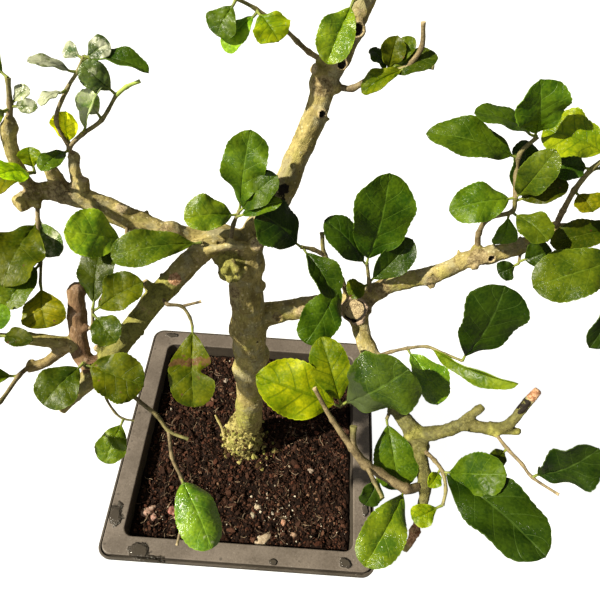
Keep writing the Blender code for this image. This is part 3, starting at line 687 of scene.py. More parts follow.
def scatter(name, ground, **wanted):
    """Run the scatter tree over a copy of the ground and keep what it makes as a plain mesh."""
    piece = bpy.data.objects.new(name, ground.data.copy())
    bpy.context.scene.collection.objects.link(piece)
    return run_tree(piece, SCATTER, **wanted)


HELPERS = []


def hidden_shape(name, points, faces):
    """A small shape that only serves the scatter tree; it is removed at the end."""
    shape = piece_from(name, points, faces)
    shape.hide_render = True
    HELPERS.append(shape)
    return shape


def crumb_shape(name, seed, squash=1.0):
    """A lump of twenty faces, one millimetre in radius, knocked out of round."""
    builder = bmesh.new()
    bmesh.ops.create_icosphere(builder, subdivisions=1, radius=MM)
    draw = random.Random(seed)
    for vertex in builder.verts:
        vertex.co *= draw.uniform(0.72, 1.25)
        vertex.co.z *= squash
    points = [vertex.co.copy() for vertex in builder.verts]
    faces = [[vertex.index for vertex in face.verts] for face in builder.faces]
    builder.free()
    return hidden_shape(name, points, faces)


print("scatter tree has", len(SCATTER.nodes), "nodes")

# %% [markdown]
# ## The soil
#
# The mix is dark red-brown fibre and bark crumbs with a few small stones. Its body
# is a block whose top is a grid of points, rounded at the corners like the pot's
# inside and lifted and sunk by noise. It stays a little lower along the wall and
# rises towards the trunk. The crumbs that one sees are scattered on top of it.

# %% Soil body
SOIL_TOP = 57.0
SOIL_WIDTH = OPENING - 2.4
SOIL_BASE_WIDTH = BASE_WIDTH - 2 * WALL - 1.4
SOIL_CELLS = 96
SOIL_CORNER = 5.0
TRUNK_FOOT = Vector((-4.0, 0.0, SOIL_TOP))


def soil_height(x, y):
    """Height of the soil's top over a place in the pot, in millimetres."""
    lumps = noise.noise(Vector((x * 0.11, y * 0.11, 3.0))) * 2.0
    crumbs = noise.noise(Vector((x * 0.36, y * 0.36, 8.0))) * 1.5
    edge = max(abs(x), abs(y)) / (SOIL_WIDTH / 2)
    sunk = -1.2 * max(0.0, edge - 0.85) / 0.15
    near = math.exp(-((x - TRUNK_FOOT.x) ** 2 + (y - TRUNK_FOOT.y) ** 2) / 260.0)
    return SOIL_TOP + lumps + crumbs + sunk + 1.6 * near


def into_rounded_square(x, y, half, corner):
    """Pull a point of a square grid in where the square's corner is rounded."""
    limit = half - corner
    away = Vector((max(0.0, abs(x) - limit), max(0.0, abs(y) - limit)))
    reach = max(away.x, away.y)
    if away.x > 0 and away.y > 0:
        away = away.normalized() * reach
    return (math.copysign(min(abs(x), limit) + away.x, x), math.copysign(min(abs(y), limit) + away.y, y))


def make_soil_body():
    side = SOIL_CELLS + 1
    half = SOIL_WIDTH / 2
    points, faces = [], []
    for row in range(side):
        for column in range(side):
            x, y = into_rounded_square(SOIL_WIDTH * (column / SOIL_CELLS - 0.5),
                                       SOIL_WIDTH * (row / SOIL_CELLS - 0.5), half, SOIL_CORNER)
            points.append(Vector((x, y, soil_height(x, y))) * MM)
    for row in range(SOIL_CELLS):
        for column in range(SOIL_CELLS):
            corner = row * side + column
            faces.append([corner, corner + 1, corner + side + 1, corner + side])
    border = list(range(SOIL_CELLS))
    border += [SOIL_CELLS + row * side for row in range(SOIL_CELLS)]
    border += [SOIL_CELLS * side + SOIL_CELLS - column for column in range(SOIL_CELLS)]
    border += [(SOIL_CELLS - row) * side for row in range(SOIL_CELLS)]
    first = len(points)
    shrink = SOIL_BASE_WIDTH / SOIL_WIDTH
    for index in border:
        top = points[index]
        points.append(Vector((top.x * shrink, top.y * shrink, (BASE_THICKNESS + 0.3) * MM)))
    for i, index in enumerate(border):
        j = (i + 1) % len(border)
        faces.append([border[j], index, first + i, first + j])
    faces.append([first + i for i in range(len(border))][::-1])
    return piece_from("soil_body", points, faces)


soil = make_soil_body()
soil.data.shade_smooth()

# %% [markdown]
# Wet mix is dark, and its dry crumbs are red-brown, so the colour follows both noise
# and each crumb's own shade. The body between the crumbs is nearly black: dark wet
# mix, with painted shade for the gaps among the crumbs. A few crumbs are pale chips
# of wood.

# %% Soil finish
def potting_mix():
    material, tree, shader = new_material("potting_mix")
    place = place_of(tree)
    cloudy = mottle(place, 9.0, 1.0)
    shade = attribute_of(tree, "shade")
    # The body has no shade value, so it takes the darkest crumb colour, which is painted shade for the gaps.
    color = mix_colors(cloudy, (0.008, 0.0035, 0.0022), (0.034, 0.0135, 0.0075))
    crumb = mix_colors(shade ** 1.8, (0.006, 0.003, 0.002), (0.125, 0.056, 0.034))
    color = mix_colors(0.75, color, crumb)
    pale = fade(shade, 0.965, 0.985)
    color = mix_colors(pale * 0.7, color, (0.24, 0.14, 0.085))
    red = fade(shade, 0.8, 0.83) * fade(shade, 0.9, 0.88)
    color = mix_colors(red * 0.7, color, (0.085, 0.03, 0.017))
    grain = noise_of(place, 0.6, 4.0, 0.65)
    connect(tree, shader, Base_Color=color, Roughness=fade(cloudy, 0.0, 1.0, 0.95, 0.62),
            Specular_IOR_Level=0.12, Normal=bump_of(grain, 0.5, 0.9))
    return material


MIX = potting_mix()
soil.data.materials.append(MIX)

# %% [markdown]
# The crumbs come in two sizes: fine ones all over, and fewer coarse chunks of bark.
# Thin root and coir fibres lie among them, bent once or twice.

# %% Soil crumbs, chunks and fibres
def make_soil_ground():
    """The soil's top alone; its cover says how thickly the scatter tree may cover each point."""
    side = SOIL_CELLS + 1
    points = [vertex.co.copy() for vertex in soil.data.vertices][:side * side]
    faces = [list(face.vertices) for face in soil.data.polygons][:SOIL_CELLS * SOIL_CELLS]
    ground = hidden_shape("soil_ground", points, faces)
    limit = (SOIL_WIDTH / 2 - 1.6) * MM
    keep_values(ground.data, "cover",
                [1.0 if max(abs(point.x), abs(point.y)) < limit else 0.0 for point in points])
    return ground


def fibre_shape(name, bend, length=1.0, thickness=0.045):
    """A three-sided thread about one millimetre long, bent sideways."""
    rings = []
    for step in range(5):
        t = step / 4
        middle = Vector((length * (t - 0.5), bend * math.sin(math.pi * t), 0.10 * math.sin(7 * t)))
        for k in range(3):
            angle = math.tau * k / 3
            rings.append((middle + Vector((0, math.cos(angle), math.sin(angle))) * thickness) * MM)
    return hidden_shape(name, rings, [face[::-1] for face in loft_faces(5, 3)])


ground = make_soil_ground()
crumb = crumb_shape("crumb", 3)
chunk = crumb_shape("chunk", 8, 0.6)
fibre = fibre_shape("fibre", 0.16)
crumbs = scatter("soil_crumbs", ground, Bit=crumb, Finish=MIX, Per_square_metre=6.1e5, Smallest=0.45,
                 Largest=1.4,
                 Lift=0.0001, Seed=2.0)
chunks = scatter("soil_chunks", ground, Bit=chunk, Finish=MIX, Per_square_metre=3.4e4, Smallest=1.1,
                 Largest=2.5,
                 Lift=0.0006, Tilt=0.9, Seed=5.0)


def dry_fibre():
    material, tree, shader = new_material("dry_fibre")
    shade = attribute_of(tree, "shade")
    color = mix_colors(shade, (0.06, 0.03, 0.018), (0.3, 0.22, 0.13))
    streaks = noise_of(place_of(tree), 0.8)
    color = mix_colors(streaks * 0.4, color, (0.045, 0.024, 0.015))
    connect(tree, shader, Base_Color=color, Roughness=0.8)
    return material


fibres = scatter("soil_fibres", ground, Bit=fibre, Finish=dry_fibre(), Per_square_metre=3.4e4, Smallest=2.2,
                 Largest=6.5,
                 Lift=0.0008, Tilt=0.35, Seed=9.0)

# %% [markdown]
# ## Stones and pale bits
#
# Fourteen small stones lie half sunk: pinkish ones at the front left, a wide beige
# one against the front wall and an orange one beside it. Each is its own lump, made
# from a ball that is knocked out of round by noise, with its colour kept on its
# points. White grains of perlite are scattered near the front right.

# %% Stones
# Middle x and y, radius, length over width, and colour
STONES = [(-54.5, -47.5, 2.6, 1.3, (0.62, 0.36, 0.27)), (-50.0, -50.0, 1.9, 1.1, (0.50, 0.25, 0.18)),
          (-52.0, -44.5, 1.6, 1.2, (0.45, 0.28, 0.20)), (-40.0, -46.5, 2.1, 1.2, (0.42, 0.14, 0.10)),
          (-37.0, -49.5, 1.5, 1.0, (0.38, 0.20, 0.15)), (8.5, -40.5, 1.8, 1.2, (0.62, 0.50, 0.33)),
          (6.0, -45.0, 1.4, 1.2, (0.50, 0.42, 0.28)), (13.0, -57.5, 3.2, 1.7, (0.60, 0.46, 0.30)),
          (24.0, -47.5, 2.0, 0.9, (0.56, 0.26, 0.14)), (30.0, -54.0, 1.9, 0.8, (0.46, 0.28, 0.17)),
          (17.0, -43.0, 1.1, 1.0, (0.55, 0.48, 0.38)), (47.0, 36.0, 2.4, 1.2, (0.48, 0.36, 0.27)),
          (-22.0, 42.0, 1.8, 1.1, (0.45, 0.36, 0.28)), (38.0, -16.0, 1.6, 1.2, (0.40, 0.30, 0.22))]


def tone_layer(mesh, colors):
    """Keep a colour on each point of a mesh, for its material to read."""
    layer = mesh.color_attributes.new("tone", "FLOAT_COLOR", "POINT")
    flat = np.ones((len(mesh.vertices), 4), dtype=np.float32)
    flat[:, :3] = np.asarray(colors, dtype=np.float32)
    layer.data.foreach_set("color", flat.ravel())


def make_stones():
    points, faces, colors = [], [], []
    for number, (x, y, radius, stretch, color) in enumerate(STONES):
        builder = bmesh.new()
        bmesh.ops.create_icosphere(builder, subdivisions=4, radius=1.0)
        first = len(points)
        turn = Matrix.Rotation(number * 1.9, 3, "Z")
        for vertex in builder.verts:
            lumpy = 1.0 + 0.42 * noise.noise(vertex.co * 1.2 + Vector((number * 7.0, 0, 0)))
            shaped = turn @ Vector((vertex.co.x * stretch, vertex.co.y, vertex.co.z * 0.62)) * lumpy * radius
            points.append((shaped + Vector((x, y, soil_height(x, y) + radius * 0.28))) * MM)
            tint = 0.85 + 0.35 * noise.noise(vertex.co * 2.2 + Vector((0, number * 5.0, 0)))
            colors.append([channel * tint * 0.8 for channel in color])
        faces += [[first + vertex.index for vertex in face.verts] for face in builder.faces]
        builder.free()
    stones = piece_from("soil_stones", points, faces)
    stones.data.shade_smooth()
    tone_layer(stones.data, colors)
    return stones


def stone_finish():
    material, tree, shader = new_material("small_stone")
    place = place_of(tree)
    color = attribute_of(tree, "tone", "Color")
    specks = flecks(place, 0.9, 0.45, 0.45)
    color = mix_colors(specks * 0.5, color, (0.14, 0.09, 0.06))
    color = mix_colors(fade(noise_of(place, 0.7), 0.5, 0.75, 0.0, 0.5), color, (0.75, 0.68, 0.58))
    connect(tree, shader, Base_Color=color, Roughness=0.55,
            Normal=bump_of(noise_of(place, 0.5, 4.0), 0.25, 0.7))
    return material


stones = make_stones()
stones.data.materials.append(stone_finish())


def perlite_finish():
    material, tree, shader = new_material("perlite")
    shade = attribute_of(tree, "shade")
    color = mix_colors(shade, (0.26, 0.2, 0.13), (0.8, 0.72, 0.56))
    pores = noise_of(place_of(tree), 0.3, 3.0)
    connect(tree, shader, Base_Color=color, Roughness=0.7, Normal=bump_of(pores, 0.2, 0.8))
    return material


def cover_near(ground, spots):
    """Cover only round the given spots: x, y, reach and thickness."""
    values = []
    for vertex in ground.data.vertices:
        x, y = vertex.co.x / MM, vertex.co.y / MM
        near = [share * math.exp(-((x - at_x) ** 2 + (y - at_y) ** 2) / reach ** 2)
                for at_x, at_y, reach, share in spots]
        inside = max(abs(x), abs(y)) < SOIL_WIDTH / 2 - 2.0
        values.append(max(near) + 0.03 if inside else 0.0)
    keep_values(ground.data, "cover", values)


cover_near(ground, [(44.0, -54.0, 9.0, 0.25), (20.0, -47.0, 11.0, 1.0), (30.0, 24.0, 12.0, 0.3),
                    (45.0, 30.0, 8.0, 0.5), (-50.0, -46.0, 6.0, 0.3)])
perlite = scatter("soil_perlite", ground, Bit=crumb, Finish=perlite_finish(), Per_square_metre=9.0e4,
                  Smallest=0.25,
                  Largest=1.0, Lift=0.0009, Seed=21.0)
finish_piece(soil, "potting_mix", "soil")
for piece in (crumbs, chunks, fibres, stones, perlite):
    finish_piece(piece, "potting_mix")

# %% [markdown]
# ## The plant in numbers
#
# A tree can't be drawn by rule where one wants this very tree, so its skeleton is a
# table. Each limb is a route of listed places with a thickness at each. Each
# pruned stub has a foot, a direction, a length, a thickness and the kind of wound it
# ends in. Each leafy spray has its twigs, and its leaves with their place on a twig,
# their heading and climb in degrees, and their length and width.

# %% Limbs, stubs and sprays
# Each limb: name, route, radius at each place
LIMBS = [
    ("trunk",
     [(-4, 0, 57.4), (-4, 0, 64), (-1, 0, 82), (1, 1, 109), (1, 3, 140), (2, 4, 170), (1, 8, 200),
      (1, 14, 222)],
     [11.5, 10.8, 7.9, 7.0, 7.9, 7.9, 7.6, 7.0]),
    ("leader",
     [(1, 14, 218), (9, 22, 229), (15, 29, 237), (19, 35, 246), (25, 41, 261), (29, 46, 276),
      (34, 48, 285), (37, 51, 295), (41, 54, 304), (43, 56, 312)],
     [6.0, 5.6, 5.4, 4.8, 4.6, 4.2, 4.0, 3.8, 3.7, 3.4]),
    ("left_limb",
     [(1, 16, 218), (-10, 16, 223), (-19, 14, 222), (-29, 12, 224), (-40, 13, 228), (-51, 14, 232),
      (-62, 15, 237), (-70, 15, 240), (-79, 14, 240), (-85, 6, 240)],
     [4.0, 3.8, 3.8, 4.6, 4.4, 4.7, 4.3, 4.2, 3.6, 3.3]),
    ("front_limb",
     [(1, 14, 220), (-8, 12, 224), (-16, 5, 223), (-26, -7, 217), (-33, -15, 213), (-40, -25, 207),
      (-52, -40, 198), (-64, -53, 192)],
     [5.0, 5.0, 4.9, 4.8, 4.8, 4.6, 4.0, 3.1]),
    ("right_limb",
     [(3, 6, 172), (9, 9, 178), (25, 10, 183), (36, 10, 188), (50, 8, 192), (64, 13, 201), (82, 14, 209),
      (96, 17, 217), (103, 17, 220), (116, 19, 225), (126, 22, 231), (143, 21, 236)],
     [6.0, 5.8, 4.9, 4.3, 4.6, 3.9, 3.7, 3.6, 3.6, 3.2, 2.8, 2.2]),
    ("front_right_limb",
     [(50, 8, 192), (54, -7, 186), (62, -21, 181), (70, -34, 175), (77, -43, 171), (80, -51, 166),
      (82, -60, 161), (81, -68, 156), (79, -76, 150), (75, -83, 145)],
     [4.4, 3.9, 3.6, 3.4, 4.0, 3.4, 3.0, 1.8, 1.7, 1.6]),
    ("side_limb",
     [(77, -43, 171), (88, -44, 178), (94, -43, 183), (104, -46, 187), (109, -46, 191), (114, -41, 198),
      (118, -37, 204)],
     [3.2, 2.8, 2.7, 2.4, 2.2, 2.0, 1.7]),
    ("side_stub", [(92, -43, 182), (97, -40, 187), (101, -38, 190)], [2.0, 1.8, 1.6]),
    ("side_spur", [(104, -46, 187), (109, -47, 188), (114, -48, 190)], [1.8, 1.6, 1.4]),
    ("left_upright", [(-50, -38, 199), (-56, -37, 202), (-58, -33, 206), (-59, -26, 214), (-59, -19, 223)],
     [3.6, 3.6, 3.6, 3.5, 3.1]),
    ("left_arm", [(-58, -33, 206), (-67, -34, 209), (-78, -35, 212)], [2.9, 2.7, 2.4]),
    ("left_arm_stub", [(-62, -34, 207), (-69, -40, 204), (-76, -43, 203)], [2.2, 2.1, 1.9]),
    ("left_rise", [(-78, 14, 240), (-82, 13, 247), (-83, 15, 262), (-82, 17, 268)], [3.0, 2.6, 2.6, 3.0]),
    ("left_hook", [(-64, 15, 239), (-65, 20, 247), (-65, 23, 252)], [2.4, 2.3, 2.0]),
    ("crossing_root", [(2, 7, 226), (-4, 4, 228), (-12, 3, 226), (-19, 3, 222)], [2.0, 1.7, 1.6, 1.8]),
    ("sucker", [(-5, 0, 63), (-13, -5, 62), (-18, 2, 72), (-22, 6, 78)], [1.6, 1.3, 1.1, 0.8]),
]

# Each stub: name, kind of end, foot on the limb, direction, length, radius
STUBS = [
    ("fork_scar", "scar", (50, 8, 191), (-0.15, -0.80, 0.60), 8.5, 5.8),
    ("leader_cut_low", "hollow", (26, 42, 266), (0.45, -0.80, 0.30), 6.5, 1.8),
    ("leader_cut_middle", "hollow", (33, 47, 283), (0.25, -0.85, 0.40), 6.0, 2.2),
    ("leader_cut_high", "hollow", (37, 51, 294), (0.30, -0.85, 0.35), 6.0, 2.8),
    ("leader_nub", "cut", (30, 46, 279), (-0.75, -0.45, 0.50), 8.0, 1.9),
    ("trunk_knot_left", "knot", (1, 9, 208), (-0.85, -0.45, 0.20), 10.0, 3.0),
    ("trunk_knot_right", "knot", (1, 7, 203), (0.90, -0.30, 0.10), 9.0, 2.2),
    ("trunk_cut_top", "cut", (3, 13, 220), (0.35, -0.60, 0.70), 9.5, 3.0),
    ("left_burl", "knot", (-29, 12, 224), (-0.15, -0.85, 0.45), 6.2, 3.0),
    ("left_scar", "cut", (-49, 14, 231), (0.30, -0.25, 0.90), 6.4, 2.4),
    ("left_cut", "cut", (-63, 16, 238), (0.25, 0.20, 0.95), 8.0, 2.2),
    ("left_split", "cut", (-70, 15, 240), (-0.20, 0.10, 0.97), 12.0, 2.6),
    ("front_cut", "cut", (-31, -12, 215), (-0.60, 0.05, 0.75), 8.0, 1.7),
    ("front_nub", "cut", (-47, -33, 202), (-0.70, -0.10, 0.70), 7.0, 1.5),
    ("right_knot", "cut", (26, 10, 184), (0.10, -0.75, 0.55), 5.6, 2.6),
    ("right_eye", "knot", (16, 9, 180), (0.0, -0.85, 0.35), 6.2, 2.0),
    ("right_spur_one", "knot", (79, 14, 208), (0.35, -0.60, -0.55), 6.4, 1.5),
    ("right_spur_two", "knot", (96, 17, 217), (0.20, -0.80, -0.30), 5.2, 1.4),
    ("right_cut", "hollow", (102, 17, 220), (0.10, -0.85, 0.35), 5.0, 1.7),
]

# Each spray: name, twig radius, twigs, and leaves.
# A leaf: twig, place on its route, heading, climb, length, width
SPRAYS = [
    ("crown_left", 1.5,
     {"a": [(30, 47, 282), (22, 46, 287), (18, 43, 292), (13, 42, 297), (4, 41.2, 303), (-2, 39, 307)]},
     [("a", 4, -50, -20, 14, 13), ("a", 4, -138, -32, 17, 8), ("a", 5, -133, -46, 13, 11),
      ("a", 5, 150, 20, 18, 12)]),
    ("crown_top", 2.2,
     {"a": [(42, 55, 309), (44, 57, 319), (46, 60, 327), (45, 62, 336)]},
     [("a", 1, 20, 20, 24, 15), ("a", 2, 150, 30, 22, 14), ("a", 2, -60, 25, 20, 12),
      ("a", 3, 70, 45, 24, 15), ("a", 3, -160, 45, 19, 12)]),
    ("crown_front", 1.2,
     {"a": [(42, 54, 306), (36.1, 46.1, 305.8)]},
     [("a", 1, -117, -42, 22, 14)]),
    ("crown_right", 1.9,
     {"a": [(30, 46, 274), (39, 41, 277), (45, 40, 282), (51, 38, 285), (57, 37, 289), (65, 34, 291)],
      "b": [(57, 37, 289), (60, 37, 296), (59, 38, 304)]},
     [("a", 3, 146, 39, 11, 7), ("a", 3, 63, 75, 13, 9), ("a", 4, -161, -24, 18, 8),
      ("a", 3, -7, 30, 19, 9), ("a", 3, 21, 52, 16, 7)]),
    ("trunk_top", 1.5,
     {"a": [(-4, 4, 228), (-3, 10, 234), (-1, 14, 238)]},
     [("a", 2, 68, 70, 32, 17), ("a", 2, 8, 51, 23, 13), ("a", 2, -155, 14, 21, 15),
      ("a", 2, -6, 32, 21, 7)]),
    ("limb_leaf", 1.1,
     {"a": [(-13, 9, 223), (-15, 3, 230)]},
     [("a", 1, -157, 7, 34, 14)]),
    ("left_low", 1.3,
     {"a": [(-46, 14, 232), (-45, 6, 229), (-44, 1, 230)]},
     [("a", 2, -155, 30, 23, 19)]),
    ("left_shoot", 1.6,
     {"a": [(-65, 23, 251), (-64, 20, 258), (-59, 23, 262), (-52, 27, 266), (-46, 31, 274)],
      "b": [(-46, 31, 274), (-42, 32, 277), (-37, 33, 279)],
      "c": [(-64, 20, 258), (-66.6, 22.1, 268), (-62, 28, 277), (-58, 31, 282), (-55, 33, 287)]},
     [("a", 4, -176, 52, 15, 10), ("c", 4, -7, -5, 23, 10), ("c", 4, 156, 16, 8, 6),
      ("c", 4, 14, 29, 12, 8), ("c", 3, -154, 25, 16, 7), ("a", 2, 40, 55, 20, 9),
      ("a", 3, 165, 64, 12, 9), ("a", 1, 86, 69, 13, 10), ("c", 2, -120, 2, 12, 7),
      ("a", 1, -109, 7, 16, 8)]),
    ("left_rise", 1.8,
     {"a": [(-82, 17, 267), (-80, 20, 275), (-79, 23, 283)]},
     [("a", 1, 22, 30, 9, 6), ("a", 1, -10, 9, 11, 5), ("a", 1, -115, 15, 15, 12),
      ("a", 2, 150, 25, 19, 13), ("a", 1, -170, 0, 21, 13)]),
    ("left_side", 1.2,
     {"a": [(-82, 13, 250), (-74.3, 9, 254.3)]},
     [("a", 1, 107, 59, 9, 8), ("a", 1, -112, 34, 16, 12), ("a", 1, -155, -5, 18, 12)]),
    ("left_hanging", 1.3,
     {"a": [(-79, 12, 240), (-77, 3, 236), (-75, -4, 234), (-73, -12, 229), (-72, -19, 225)]},
     [("a", 1, -102, -14, 29, 26), ("a", 1, -50, -27, 17, 12), ("a", 4, -73, -30, 17, 16),
      ("a", 3, -115, -15, 21, 13)]),
    ("left_cluster", 1.3,
     {"a": [(-59, -29, 211), (-52.5, -29, 213.5), (-52, -25, 219.5)]},
     [("a", 2, 90, 29, 24, 14), ("a", 2, 26, 23, 22, 15), ("a", 2, -43, -10, 15, 12)]),
    ("left_far", 1.5,
     {"a": [(-77, -35, 213), (-84, -38, 217), (-89, -42, 220)]},
     [("a", 1, 60, 60, 13, 8), ("a", 1, -13, 15, 15, 7), ("a", 2, 170, 20, 22, 14),
      ("a", 2, -120, 10, 18, 11)]),
    ("left_tip", 1.5,
     {"a": [(-74, -41, 204), (-75, -49, 208), (-77, -60, 209), (-80, -68, 210)]},
     [("a", 1, -165, 15, 17, 9), ("a", 3, -150, 0, 20, 12), ("a", 3, -60, 25, 10, 5)]),
    ("front_pair", 1.4,
     {"a": [(-54, -41, 198), (-54, -41, 207)]},
     [("a", 1, -120, -4, 20, 16), ("a", 1, -14, -7, 24, 19)]),
    ("torn_leaf", 1.2,
     {"a": [(-31, -12, 215), (-25, -20, 219), (-20, -19, 217), (-17, -21, 213), (-16, -23, 210)],
      "b": [(-20, -19, 217), (-13, -16, 217)]},
     [("a", 4, -84, -41, 32, 18)]),
    ("low_leaf", 0.9,
     {"a": [(-50, -38, 199), (-48, -46, 190), (-45, -49, 184), (-42, -50, 181), (-38, -50, 180)]},
     [("a", 3, -104, -16, 18, 12)]),
    ("front_twig", 1.6,
     {"a": [(-45, -32, 203), (-39, -43, 190), (-29, -48, 182), (-24, -52, 177), (-16, -54, 175)],
      "b": [(-24, -52, 177), (-22, -60, 170), (-18, -66, 165), (-15, -73, 162), (-15, -79, 160),
            (-16, -90, 157)]},
     [("b", 2, -57, -4, 30, 18)]),
    ("fork_upright", 2,
     {"a": [(47, 8, 192), (42, 10, 206), (34, 12, 218), (32, 16, 227)],
      "b": [(34, 12, 218), (29, 11, 222), (24, 9, 225)]},
     [("b", 2, 168, 39, 23, 23), ("b", 2, -51, -23, 24, 15), ("a", 1, -115, -19, 32, 17)]),
    ("fork_leaf", 1.6,
     {"a": [(56, 9, 195), (54, 9, 206), (51.8, 11.2, 215.5)]},
     [("a", 2, 73, 67, 39, 26), ("a", 2, 162, 45, 27, 16), ("a", 1, 29, 47, 26, 14),
      ("a", 1, -148, 4, 11, 9)]),
    ("fork_low", 1.6,
     {"a": [(62, -21, 181), (53, -32, 182), (43.9, -40, 185.5)]},
     [("a", 2, 170, 15, 36, 23), ("a", 2, 117, 40, 29, 16), ("a", 2, 5, 51, 35, 29)]),
    ("right_middle", 1.3,
     {"a": [(58, -14, 183), (65, -15, 190), (71, -16, 195), (78, -18, 200), (84, -23, 203), (90, -27, 205)]},
     [("a", 2, -62, -9, 26, 18), ("a", 3, -38, 17, 38, 9), ("a", 5, 55, 64, 35, 25)]),
    ("upper_right", 2,
     {"a": [(98, 18, 218), (96, 20, 229), (97, 19, 238), (103, 15, 246), (102, 15, 253)],
      "b": [(102, 15, 253), (100.3, 22.4, 265.3), (104, 23, 274)]},
     [("a", 4, -167, -7, 25, 15), ("a", 4, -52, 76, 26, 12), ("a", 4, -10, 38, 19, 10),
      ("a", 3, -54, 3, 18, 13), ("b", 1, 178, 13, 35, 15), ("b", 2, 178, 18, 25, 11),
      ("b", 2, -167, 74, 23, 18), ("a", 3, -71, -80, 15, 10), ("a", 4, 85, 48, 23, 12)]),
    ("right_rise", 2,
     {"a": [(126, 22, 231), (125, 21, 243), (124, 19, 255), (126, 19, 265), (129, 18, 272)]},
     [("a", 4, 158, 8, 24, 19), ("a", 3, -173, 10, 15, 11), ("a", 2, -62, -7, 11, 12),
      ("a", 4, 20, 60, 20, 14), ("a", 3, 10, 20, 22, 14)]),
    ("right_end", 1.8,
     {"a": [(141, 21, 236), (150, 17, 241), (157, 15, 247), (163, 14, 252)],
      "b": [(150, 17, 241), (149.3, 5.7, 235), (144, -2, 235)]},
     [("a", 1, -169, -13, 30, 12), ("b", 1, -160, -8, 39, 20), ("b", 2, -111, -30, 31, 14),
      ("a", 2, -40, 10, 26, 16), ("a", 3, 60, 40, 24, 15), ("a", 3, -20, 35, 22, 14),
      ("a", 2, 120, 10, 22, 14)]),
    ("right_under", 1,
     {"a": [(115, 19, 224), (113, 11, 222)]},
     [("a", 1, -156, -20, 9, 9), ("a", 1, 4, 35, 13, 13)]),
    ("side_twig", 1.2,
     {"a": [(104, -46, 187), (108, -55, 189), (112, -61, 190), (115, -66, 190), (122, -73, 193)]},
     [("a", 3, 5, 60, 28, 20), ("a", 1, -140, 0, 9, 7)]),
    ("low_leaves", 1.5,
     {"a": [(79, -47, 169), (83, -56, 176), (85, -62, 179), (86, -68, 177), (85, -73, 174)]},
     [("a", 2, -16, 38, 25, 16), ("a", 2, -50, 20, 46, 25), ("a", 4, -155, -8, 13, 9),
      ("a", 2, -125, 1, 9, 6)]),
    ("low_back", 1.3,
     {"a": [(68, -31, 176), (65, -38, 173)]},
     [("a", 1, -76, -26, 29, 18)]),
    ("low_front", 1.9,
     {"a": [(82, -61, 161), (73, -64, 165), (62, -60, 169), (56, -58, 172), (50, -54, 178),
            (41, -47, 187), (33, -39, 197)],
      "b": [(56, -58, 172), (59, -65, 173), (62, -72, 174)],
      "c": [(50, -54, 178), (49.7, -47.9, 184.5)]},
     [("a", 1, -119, -1, 35, 17), ("a", 2, -115, -30, 14, 10)]),
]

print("limbs:", len(LIMBS), "stubs:", len(STUBS), "sprays:", len(SPRAYS), "leaves:",
      sum(len(spray[3]) for spray in SPRAYS))

# %% [markdown]
# ## The wood
#
# Trunk, limbs, pruned stubs and knots grew as one, so they are one piece. A smooth
# curve runs through each limb's places, and a tube with slightly uneven sides
# follows the curve. Every stub ends in a collar, where the bark has swollen round
# the wound, and short sockets stand where the green shoots grow out.

# %% Tubes along routes
def smooth_route(route, radii, step):
    """Read a smooth curve through the route's points about every step millimetres."""
    points = [Vector(point) for point in route]
    guide = [points[0] * 2 - points[1]] + points + [points[-1] * 2 - points[-2]]
    places = []
    for i in range(len(points) - 1):
        p0, p1, p2, p3 = guide[i:i + 4]
        parts = max(1, round((p2 - p1).length / step))
        for part in range(parts):
            t = part / parts
            place = 0.5 * ((2 * p1) + (p2 - p0) * t + (2 * p0 - 5 * p1 + 4 * p2 - p3) * t * t
                           + (3 * p1 - p0 - 3 * p2 + p3) * t * t * t)
            places.append((place, radii[i] * (1 - t) + radii[i + 1] * t))
    places.append((points[-1], radii[-1]))
    return places


def ring_frames(places):
    """For each (place, radius): the place, the radius, and the directions ahead, across and beside."""
    frames, across = [], None
    for i, (place, radius) in enumerate(places):
        ahead = (places[min(len(places) - 1, i + 1)][0] - places[max(0, i - 1)][0]).normalized()
        across = ahead.orthogonal().normalized() if across is None else across
        across = (across - ahead * across.dot(ahead)).normalized()
        frames.append((place, radius, ahead, across, ahead.cross(across)))
    return frames


class Pour:
    """Collects the points and faces of many tubes and lumps, in millimetres, for one mesh."""

    def __init__(self):
        self.points, self.faces = [], []

    def add(self, points, faces):
        first = len(self.points)
        self.points += points
        self.faces += [[first + index for index in face] for face in faces]

    def tube(self, places, sides, uneven=0.0, seed=0.0):
        points = []
        for place, radius, _, across, beside in ring_frames(places):
            for k in range(sides):
                angle = math.tau * k / sides
                offset = across * math.cos(angle) + beside * math.sin(angle)
                bulge = 1.0 + uneven * noise.noise(place * 0.09 + offset * 0.9 + Vector((seed, 0, 0)))
                points.append(place + offset * radius * bulge)
        self.add(points, loft_faces(len(places), sides))

    def ball(self, middle, radius):
        builder = bmesh.new()
        bmesh.ops.create_icosphere(builder, subdivisions=3, radius=radius)
        points = [Vector(middle) + vertex.co for vertex in builder.verts]
        self.add(points, [[vertex.index for vertex in face.verts] for face in builder.faces])
        builder.free()

    def piece(self, name):
        return piece_from(name, [point * MM for point in self.points], self.faces)


# %% [markdown]
# To know which way the grain runs at any place of the wood, one asks for the nearest
# place on any limb's curve. The limbs are read at close steps into a search tree.

# %% Where the limbs run
def limb_guide():
    """Every limb at steps of a millimetre: place, radius, ahead, across, beside, length so far, limb."""
    guide = []
    for number, (_, route, radii) in enumerate(LIMBS):
        frames = ring_frames(smooth_route(route, radii, 1.0))
        run = 0.0
        for i, (place, radius, ahead, across, beside) in enumerate(frames):
            run += (place - frames[max(i - 1, 0)][0]).length
            guide.append((place, radius, ahead, across, beside, run, number))
    tree = kdtree.KDTree(len(guide))
    for index, entry in enumerate(guide):
        tree.insert(entry[0], index)
    tree.balance()
    return guide, tree


LIMB_GUIDE, LIMB_TREE = limb_guide()
STUB_REACH = 2.0


def socket_length(route):
    """How far a spray's woody socket stands out from its limb's axis."""
    start = Vector(route[0])
    nearest = LIMB_GUIDE[LIMB_TREE.find(start)[1]]
    return min(nearest[1] + STUB_REACH, (Vector(route[1]) - start).length - 1.0)


